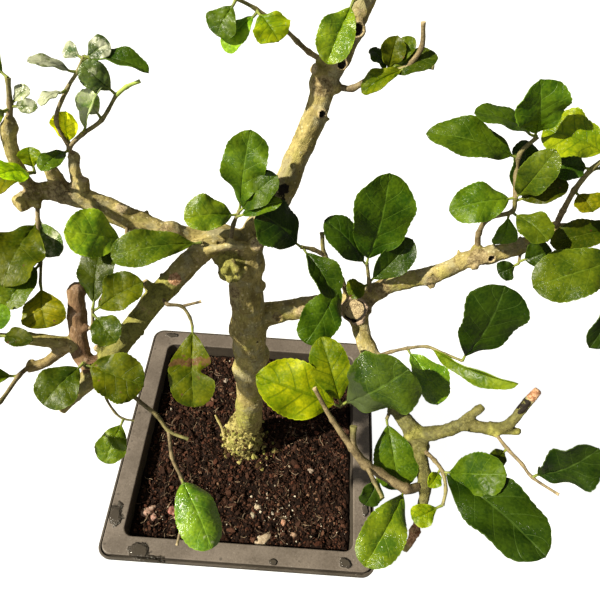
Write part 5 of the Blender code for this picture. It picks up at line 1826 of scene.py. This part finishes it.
def make_leaf_tree():
    tree, start = new_tree("leafy_spray", {"Feet": "Geometry", "Twigs": "Object"}, Thickness=0.32)
    sheets = add_node(tree, "GeometryNodeInstanceOnPoints", {"Points": start["Feet"],
                                                             "Instance": flat_blade(tree)})
    real = flow_of(tree, "GeometryNodeRealizeInstances", {0: sheets.outputs[0]})
    out, along, _ = parts_of(named_value(tree, "blade", "FLOAT_VECTOR"))
    bent = flow_of(tree, "GeometryNodeSetPosition",
                   {"Geometry": real, "Position": bent_place(tree, out, along)})
    closed = thick_blade(tree, bent, start["Thickness"])
    painted = flow_of(tree, "GeometryNodeSetMaterial", {"Geometry": closed, "Material": start["Finish"]})
    twigs = flow_of(tree, "GeometryNodeObjectInfo", {"Object": start["Twigs"]}, output="Geometry")
    return put_out(tree, flow_of(tree, "GeometryNodeRealizeInstances", {0: join(tree, twigs, painted)}))


LEAF_TREE = make_leaf_tree()
print("leaf tree has", len(LEAF_TREE.nodes), "nodes")

# %% [markdown]
# ## Leaf finish
#
# Lit from the front, a leaf is deep green with paler veins and a waxy sheen. Lit
# from behind it glows yellow-green, and its veins show dark. So the material mixes a
# glossy front with light that passes through, and each leaf says how much passes.
# The front colour is also painted: dark vein shadows on leaves that pass much light,
# and a lit rim along every edge. Its tone, its wax, its painted pale sheen and painted
# dull reflection, and its age, which brings brown spots, are kept on its points too.
# The veins are drawn from how far out and how far along the blade a place is.

# %% Leaf material
def vein_masks(tree):
    """Masks for the midrib, the side veins, their blurred shadow against the light, and the outer edge that
    gets a painted lit rim.
    """
    out, along, _ = parts_of(attribute_of(tree, "blade", "Vector"))
    away = abs(out)
    midrib = fade(away, 0.045, 0.015)
    swept = along + away * -0.22 + away * away * -0.03
    sided = maths("GREATER_THAN", out, 0.0) * 0.5
    phase = maths("FRACT", swept * SIDE_VEINS + sided)
    nearest = maths("MINIMUM", phase, 1.0 - phase)
    reach = fade(away, 0.93, 0.75)
    side = fade(nearest, 0.04, 0.01) * reach
    blurred = maths("MAXIMUM", fade(nearest, 0.11, 0.015), fade(away, 0.1, 0.02))
    edge = fade(away, 0.955, 0.985)
    return (midrib, side, blurred * reach, edge)


def spots_of(tree, place):
    """Brown spots: more of them the older the leaf."""
    age = attribute_of(tree, "age")
    blot = noise_of(place, 5.0, 4.0, 0.7)
    wide = fade(blot + age * 0.22, 0.8, 0.86)
    dots = flecks(place, 2.6, 0.14, 0.2) * fade(age, 0.1, 0.6)
    return maths("MAXIMUM", wide, dots)


def dry_band(tree, place):
    """The band across a torn leaf that has dried out."""
    along = parts_of(attribute_of(tree, "blade", "Vector"))[1]
    ragged = (noise_of(place, 3.0, 4.0, 0.7) - 0.5) * 0.35
    band = bell(along + ragged, 0.37, 0.05)
    return fade(band * attribute_of(tree, "tear"), 0.25, 0.45)


def painted_sheen_patches(tree, place):
    """Where painted sheen lies on a leaf: pale greyish patches, wider ones the higher its film value."""
    film = attribute_of(tree, "film")
    cloudy = noise_of(place, 4.5, 4.0, 0.65)
    spread = cloudy + film * 0.5
    return fade(spread, 0.64, 0.78, 0.0, 0.85) * fade(film, 0.0, 0.15)


def reflection_patch_of(tree, place):
    """A painted reflection: a dull greyish patch with a hard edge over the half of a leaf that is nearer to
    its stalk.
    """
    along = parts_of(attribute_of(tree, "blade", "Vector"))[1]
    ragged = (noise_of(place, 5.0, 3.0) - 0.5) * 0.3
    return fade(along + ragged, 0.42, 0.39) * attribute_of(tree, "bloom")


def upper_color(tree, place, tone, bright, masks):
    """The blade from above: cloudy, with pale veins where it is dark, painted dark vein shadows where it lets
    much light through, and a painted lit rim.
    """
    midrib, side, blurred, edge = masks
    cloudy = mottle(place, 9.0, 0.9)
    color = mix_colors(cloudy, times(tone, 0.48, 0.6, 0.7), times(tone, 2.25, 1.7, 1.1))
    # One pale colour serves both the real pale veins and the painted lit rim.
    pale_veins_and_lit_rim = mix_colors(1.0, times(tone, 1.9, 1.6, 1.6), (0.035, 0.05, 0.012), "ADD")
    shown = 0.8 - bright * 0.7
    veins = maths("MAXIMUM", midrib, side * 0.75)
    color = mix_colors(veins * shown, color, pale_veins_and_lit_rim)
    cells = fade(net_of(place, 3.0), 0.2, 0.02, 0.0, 0.25)
    color = mix_colors(cells, color, times(tone, 0.55, 0.62, 0.6))
    # Painted backlight: on leaves that let much light through, veins and net are darkened as shadows against
    # light from behind.
    shadow = maths("MAXIMUM", blurred, cells) * 0.85
    color = mix_colors(shadow * bright * 0.75, color, times(tone, 0.42, 0.55, 0.4))
    # Painted sheen: pale greyish patches stand for the sun's glare on the wax.
    color = mix_colors(painted_sheen_patches(tree, place), color, (0.64, 0.68, 0.47))
    # Painted reflection: the dull greyish patch darkens and greys the colour.
    color = mix_colors(reflection_patch_of(tree, place) * 0.62, color, (0.078, 0.094, 0.05))
    # Painted light: a pale rim along the blade's edge, as if light shone through it.
    return (mix_colors(edge * 0.75, color, pale_veins_and_lit_rim), cloudy, shadow)


def leaf_relief(place, masks):
    """The surface swells a little in every mesh of the net of veins, and sinks along the veins."""
    midrib, side, _, _ = masks
    swollen = fade(net_of(place, 2.6), 0.0, 0.42)
    sunk = maths("MAXIMUM", midrib, side) * -0.8
    rough = noise_of(place, 0.7, 3.0) * 0.35
    return bump_of(swollen + sunk + rough, 0.13, 0.7)


def make_leaf_finish():
    material, tree, shader = new_material("leaf_green")
    place = place_of(tree)
    tone = attribute_of(tree, "tone", "Color")
    glow = attribute_of(tree, "glow")
    bright = fade(glow, 0.25, 0.45)
    masks = vein_masks(tree)
    color, cloudy, shadow = upper_color(tree, place, tone, bright, masks)
    dry = mix_colors(cloudy, (0.09, 0.04, 0.012), (0.24, 0.14, 0.05))
    spots = maths("MAXIMUM", spots_of(tree, place), dry_band(tree, place))
    color = mix_colors(spots, color, dry)
    under = attribute_of(tree, "under")
    dull = mix_colors(1.0, times(tone, 1.3, 1.2, 1.6), (0.04, 0.055, 0.018), "ADD")
    color = mix_colors(under * 0.75, color, dull)
    through = mix_colors(shadow, times(tone, 2.4, 2.1, 0.8), times(tone, 0.75, 0.95, 0.5))
    through = mix_colors(spots, through, dry)
    rough = fade(cloudy, 0.0, 1.0, 0.3, 0.46) + under * 0.3
    normal = leaf_relief(place, masks)
    uneven = noise_of(place, 2.6, 3.0, 0.6) + cloudy * 0.5
    wax = attribute_of(tree, "wax") * (1.0 - reflection_patch_of(tree, place))
    connect(tree, shader, Base_Color=color, Roughness=rough, Specular_IOR_Level=0.16, Normal=normal,
            Coat_Weight=wax, Coat_Roughness=0.2, Coat_Normal=bump_of(uneven, 0.9, 0.8))
    passing = add_node(tree, "ShaderNodeBsdfTranslucent", {"Color": through, "Normal": normal})
    mixed = add_node(tree, "ShaderNodeMixShader", {0: glow, 1: shader.outputs[0], 2: passing.outputs[0]})
    tree.links.new(mixed.outputs[0], tree.nodes["Material Output"].inputs["Surface"])
    return material


LEAF_FINISH = make_leaf_finish()

# %% [markdown]
# Young shoots are green and turn brown with small corky dots as they age, so twigs
# keep a greenness on their points. Petioles are the greenest. Where a twig was cut,
# its end shows pale wood with a thin dark rind.

# %% Twig material
def make_twig_finish():
    material, tree, shader = new_material("twig_bark")
    place = place_of(tree)
    green = attribute_of(tree, "green")
    cloudy = mottle(place, 4.0, 0.6)
    brown = mix_colors(cloudy, (0.09, 0.062, 0.028), (0.33, 0.255, 0.125))
    fresh = mix_colors(cloudy, (0.13, 0.17, 0.02), (0.3, 0.35, 0.05))
    color = mix_colors(fade(green, 0.1, 0.9), brown, fresh)
    color = mix_colors(fade(green, 1.1, 1.4), color, (0.42, 0.54, 0.09))
    dots = flecks(place, 1.0, 0.3, 0.28)
    color = mix_colors(dots * 0.55, color, (0.42, 0.35, 0.21))
    cut = attribute_of(tree, "cut")
    straw = mix_colors(noise_of(place, 0.5), (0.42, 0.3, 0.14), (0.78, 0.65, 0.4))
    color = mix_colors(cut, color, straw)
    normal = bump_of(noise_of(place, 0.7, 4.0, 0.65), 0.25, 0.8)
    connect(tree, shader, Base_Color=color, Roughness=0.62, Normal=normal)
    return material


TWIG_FINISH = make_twig_finish()

# %% [markdown]
# ## Tones of the leaves
#
# Every leaf's tone was judged from the photograph and given a word. Deep and dark
# leaves hang in shade or turn their waxy side to the camera, lime and backlit ones
# have the sun behind them, and gold or olive ones are old. So the deep and dark
# colours hold painted shade, the lime and backlit ones painted backlight, and the
# grey and pale ones painted sheen. Each word stands for a colour, the share of light
# that passes through, and an age. Waxy, grey and pale leaves also gleam, and some
# carry patches of painted sheen.

# %% Tones and leaf looks
TONES = {"deep": ((0.018, 0.047, 0.002), 0.10, 0.1), "dark": ((0.045, 0.105, 0.003), 0.16, 0.1),
         "waxy": ((0.070, 0.150, 0.006), 0.12, 0.1), "green": ((0.102, 0.215, 0.008), 0.26, 0.2),
         "warm": ((0.122, 0.212, 0.008), 0.28, 0.3), "olive": ((0.113, 0.165, 0.004), 0.32, 0.55),
         "gold": ((0.195, 0.230, 0.004), 0.38, 0.6), "lime": ((0.250, 0.368, 0.006), 0.40, 0.2),
         "backlit": ((0.285, 0.370, 0.006), 0.50, 0.3), "grey": ((0.080, 0.150, 0.030), 0.14, 0.1),
         "pale": ((0.190, 0.280, 0.090), 0.16, 0.1)}

# Each plus or minus behind a word makes a leaf a third brighter or darker: a plus paints in light and a minus
# paints in shade that the lamps here don't give that leaf
TONE_STEP = 1.35

# How strongly a leaf's wax shines
WAX = {"waxy": 0.8, "pale": 0.8, "grey": 0.7, "lime": 0.15, "green": 0.22, "warm": 0.22, "deep": 0.15,
       "dark": 0.2}

# How much painted sheen, in pale greyish patches, lies on a leaf of each look
PAINTED_SHEEN = {"waxy": 0.04, "pale": 0.58, "grey": 0.34, "warm": 0.02}

# How squarely the sun meets a leaf of each look, and how far it may turn for that, in degrees
SUN_SHARE = {"deep": 0.16, "dark": 0.28, "waxy": 0.45, "grey": 0.75, "pale": 0.80}
SUN_TURN = 22

# One word for each leaf of a spray, in the table's order
LOOKS = {
    "crown_left": "lime green++ green-- green", "crown_top": "green lime green green dark",
    "crown_front": "warm+",
    "crown_right": "dark-- olive- lime-- warm--- warm-", "trunk_top": "green- green-- warm green-",
    "limb_leaf": "warm-", "left_low": "warm++",
    "left_shoot": "grey dark pale grey- pale- pale++ pale++ gold++++ pale green-",
    "left_rise": "pale grey- warm warm green", "left_side": "lime lime++ gold",
    "left_hanging": "olive- grey gold warm-", "left_cluster": "warm---- olive- warm--",
    "left_far": "dark+++ olive-- warm green", "left_tip": "warm warm green", "front_pair": "warm-- olive-",
    "torn_leaf": "olive-", "low_leaf": "warm", "front_twig": "waxy++", "fork_upright": "deep dark- dark",
    "fork_leaf": "dark deep+ dark-- olive", "fork_low": "backlit lime- waxy--",
    "right_middle": "waxy++ warm deep",
    "upper_right": "green- warm- olive--- warm-- green-- dark- dark+ dark++ deep",
    "right_rise": "lime deep+ gold dark dark",
    "right_end": "olive-- warm-- deep- green dark green green", "right_under": "deep- dark--",
    "side_twig": "deep- olive--", "low_leaves": "green-- deep lime lime", "low_back": "green-",
    "low_front": "warm deep"}

# Leaves that are folded, curled or torn more than the others: spray, leaf and what differs
# A film value here is painted sheen on the leaf's colour.
SPECIAL = {("crown_front", 0): {"fold": 36, "film": 0.12, "wax": 0.8},
           ("front_twig", 0): {"fold": 4, "cup": -26, "droop": 0.10, "base": 0.62, "tip": 0.5, "film": 0.10,
                               "wax": 1.0},
           ("fork_low", 0): {"base": 0.85, "tip": 0.72}, ("fork_low", 1): {"tip": 0.62},
           # fork_low's third leaf carries a painted reflection over its half near the stalk.
           ("fork_low", 2): {"fold": 5, "cup": -12, "bloom": 1.0, "wax": 0.7, "film": 0.0},
           ("trunk_top", 0): {"base": 1.05, "tip": 0.62, "wave": 0.10},
           ("trunk_top", 2): {"fold": 30, "droop": 0.10, "wax": 0.6},
           ("right_rise", 0): {"film": 0.06, "wax": 0.5}, ("upper_right", 4): {"base": 0.9, "tip": 0.66},
           ("upper_right", 0): {"base": 0.8, "tip": 0.66}, ("upper_right", 1): {"film": 0.06, "wax": 0.7},
           ("fork_leaf", 0): {"fold": 4}, ("left_shoot", 0): {"film": 0.16}, ("left_shoot", 5): {"fold": 50},
           ("left_low", 0): {"wax": 0.5},
           ("right_middle", 1): {"roll": 50, "fold": 34, "droop": 0.04, "wax": 0.0},
           ("low_front", 0): {"fold": 30, "cup": -18, "twist": -25, "wax": 0.6, "film": 0.05},
           ("torn_leaf", 0): {"tear": 0.62, "age": 0.8}, ("low_leaves", 0): {"wax": 0.0},
           ("low_leaves", 1): {"fold": 10, "twist": 8}, ("low_back", 0): {"fold": 14},
           ("fork_upright", 1): {"fold": 16}}
FACING = Vector((0.0, -0.45, 0.9)).normalized()
LEAF_STEP, PETIOLE_LENGTH, BOW = 0.9, 2.4, 0.08
LARGE_LEAF, MIDDLE_LEAF = 21.0, 13.0


def direction_of(heading, climb):
    flat = math.cos(math.radians(climb))
    return Vector((flat * math.cos(math.radians(heading)), flat * math.sin(math.radians(heading)),
                   math.sin(math.radians(climb))))


def leaf_foot(route, index, before):
    """Leaves stand alternately: each further one at a place sits a little lower on the twig."""
    node = Vector(route[index])
    below = (Vector(route[index - 1]) - node).normalized()
    return node + below * LEAF_STEP * before


def tooth_count(length):
    """Teeth on one side, such that each has a whole number of the grid's rows."""
    if length >= LARGE_LEAF:
        return 14.0
    return 56 / 6 if length >= MIDDLE_LEAF else 7.0


def turned_leaf(ahead, roll, look):
    """The leaf's upward direction. A dark leaf is turned, within limits, until the sun only grazes it."""
    plain = (FACING - ahead * FACING.dot(ahead)).normalized()
    turns = range(-SUN_TURN, SUN_TURN + 1, 2) if look in SUN_SHARE else (0,)
    choices = [Matrix.Rotation(math.radians(roll + turn), 3, ahead) @ plain for turn in turns]
    return min(choices, key=lambda up: abs(up.dot(SUN_FROM) - SUN_SHARE.get(look, 0.0)))


def leaf_values(spray, number, leaf, foot, draw):
    """Everything that the leaf tree and the leaf's material need to know of one leaf."""
    _, _, heading, climb, length, width = leaf
    word = LOOKS[spray].split()[number]
    look = word.rstrip("+-")
    brighter = TONE_STEP ** (word.count("+") - word.count("-"))
    special = dict(SPECIAL.get((spray, number), {}))
    ahead = direction_of(heading, climb)
    up = turned_leaf(ahead, special.pop("roll", 0), look)
    tone, glow, age = TONES[look]
    # film paints pale sheen on the leaf's colour, and the last value paints a dull reflection.
    posture = {"fold": draw.uniform(6, 19), "cup": draw.uniform(-12, 10), "twist": draw.uniform(-16, 16),
               "droop": draw.uniform(0.0, 0.08), "wave": draw.uniform(0.03, 0.075), "tear": 0.0,
               "age": age * draw.uniform(0.4, 1.5), "wax": WAX.get(look, 0.10), "film": PAINTED_SHEEN.get(look, 0.0),
               "bloom": 0.0}
    base = special.pop("base", draw.uniform(0.80, 1.02))
    tip = special.pop("tip", draw.uniform(0.44, 0.58))
    posture.update(special)
    for name in ("fold", "cup", "twist"):
        posture[name] = math.radians(posture[name])
    widest = (base / (base + tip)) ** base * (tip / (base + tip)) ** tip
    shift = draw.uniform(0.92, 1.10) * brighter
    posture.update({"length": length * MM, "width": width * MM / 2 / widest, "base": base, "tip": tip,
                    "bow": BOW, "petiole": min(PETIOLE_LENGTH, length * 0.2) * MM,
                    "teeth": tooth_count(length),
                    "tooth": MM * min(0.34, 0.016 * width), "seed": draw.uniform(0.0, 6.0), "glow": glow,
                    "foot": foot * MM, "ahead": ahead, "side": ahead.cross(up), "up": up,
                    "tone": tuple(channel * shift for channel in tone) + (1.0,)})
    return posture


# %% [markdown]
# ## The sprays
#
# A spray is one shoot with its leaves. Its twigs are thin tubes, knobbly where a leaf
# or bud sits, and each leaf has a short petiole that runs into its midrib. The points
# for the leaves' feet carry all the values, and the leaf tree turns them into blades
# and joins them to the twigs.

# %% Twigs and feet
TWIG_STEP, TWIG_SIDES, PETIOLE_SIDES, TWIG_GIRTH = 1.2, 9, 7, 0.62
FRESH_ENDS = {("left_shoot", "b")}

# Twigs that don't taper evenly: thickness at each place of their route
GIRTHS = {("low_front", "a"): [1.7, 1.7, 1.6, 1.6, 1.4, 0.85, 0.7], ("low_front", "c"): [1.5, 1.2]}
BARE_ENDS = {("crown_right", "b"), ("front_twig", "b"), ("low_front", "a"), ("side_twig", "a"),
             ("torn_leaf", "b")}


def twig_places(spray, key, radius, route, draw):
    """Places and radii along a twig, thinner towards its end and thicker at each node."""
    points = [Vector(point) for point in route]
    if key == "a":
        ahead = (points[1] - points[0]).normalized()
        points[0] = points[0] + ahead * (socket_length(route) - 0.8)
    thick = radius * TWIG_GIRTH if key == "a" else radius * TWIG_GIRTH * 0.85
    girths = GIRTHS.get((spray, key), [1 - 0.45 * i / len(points) for i in range(len(points))])
    radii = [thick * girth for girth in girths]
    places = smooth_route(points, radii, TWIG_STEP)
    knobs = points[1:]
    swollen = []
    for place, size in places:
        near = max(math.exp(-((place - knob).length / 1.1) ** 2) for knob in knobs)
        swollen.append((place, size * (1.0 + 0.28 * near + draw.uniform(-0.05, 0.05))))
    return swollen


def make_twigs(spray, radius, twigs, feet, draw):
    """All the twigs and petioles of one spray as one mesh, with greenness and cut ends on its points."""
    pour, green, cut = Pour(), [], []
    for key, route in twigs.items():
        places = twig_places(spray, key, radius, route, draw)
        pour.tube(places, TWIG_SIDES, 0.12, draw.uniform(0, 50))
        for i in range(len(places)):
            share = i / max(1, len(places) - 1)
            bare = (spray, key) in BARE_ENDS
            fresh = 1.5 if (spray, key) in FRESH_ENDS else 0.0
            green += [0.12 if bare else 0.10 + 0.35 * share + fresh] * TWIG_SIDES
            cut += [1.0 if bare and i == len(places) - 1 else 0.0] * TWIG_SIDES
    for values in feet:
        foot, ahead, up = values["foot"] / MM, values["ahead"], values["up"]
        reach = values["petiole"] / MM
        rise = BOW * values["length"] / MM
        places = []
        for step in range(6):
            t = step / 5
            along = reach * 1.5 * t
            bow = rise * math.sin(math.pi * max(0.0, along - reach)
                                  / (values["length"] / MM - reach)) if t > 0.66 else 0.0
            places.append((foot + ahead * along + up * (bow - 0.35 * t), 0.62 - 0.22 * t))
        pour.tube(places, PETIOLE_SIDES)
        green += [1.0] * (len(places) * PETIOLE_SIDES)
        cut += [0.0] * (len(places) * PETIOLE_SIDES)
    piece = pour.piece(spray + "_twigs")
    keep_values(piece.data, "green", green)
    keep_values(piece.data, "cut", cut)
    piece.data.materials.append(TWIG_FINISH)
    piece.data.shade_smooth()
    return piece


def feet_piece(name, feet):
    """One point for each leaf, which carries the leaf's values under their names."""
    piece = piece_from(name, [values["foot"] for values in feet], [])
    for key, example in feet[0].items():
        if isinstance(example, Vector):
            layer = piece.data.attributes.new(key, "FLOAT_VECTOR", "POINT")
            layer.data.foreach_set("vector", [part for values in feet for part in values[key]])
        elif isinstance(example, tuple):
            layer = piece.data.attributes.new(key, "FLOAT_COLOR", "POINT")
            layer.data.foreach_set("color", [part for values in feet for part in values[key]])
        else:
            keep_values(piece.data, key, [values[key] for values in feet])
    return piece


def make_spray(number, spray, radius, twigs, leaves):
    draw = random.Random(400 + number)
    feet = []
    for i, leaf in enumerate(leaves):
        before = sum(1 for other in leaves[:i] if other[:2] == leaf[:2])
        feet.append(leaf_values(spray, i, leaf, leaf_foot(twigs[leaf[0]], leaf[1], before), draw))
    stems = make_twigs(spray, radius, twigs, feet, draw)
    piece = run_tree(feet_piece(spray + "_leaves", feet), LEAF_TREE, Twigs=stems, Finish=LEAF_FINISH)
    bpy.data.objects.remove(stems)
    smoothed(piece, 55)
    return piece


# %% Grow every spray
for number, (spray, radius, twigs, leaves) in enumerate(SPRAYS):
    piece = make_spray(number, spray, radius, twigs, leaves)
    finish_piece(piece, "leaf", spray + "_spray")

# %% [markdown]
# ## Clean-up
#
# The small shapes that served only the scatter tree are removed.

# %% Remove the helper shapes
for helper in HELPERS:
    bpy.data.objects.remove(helper)
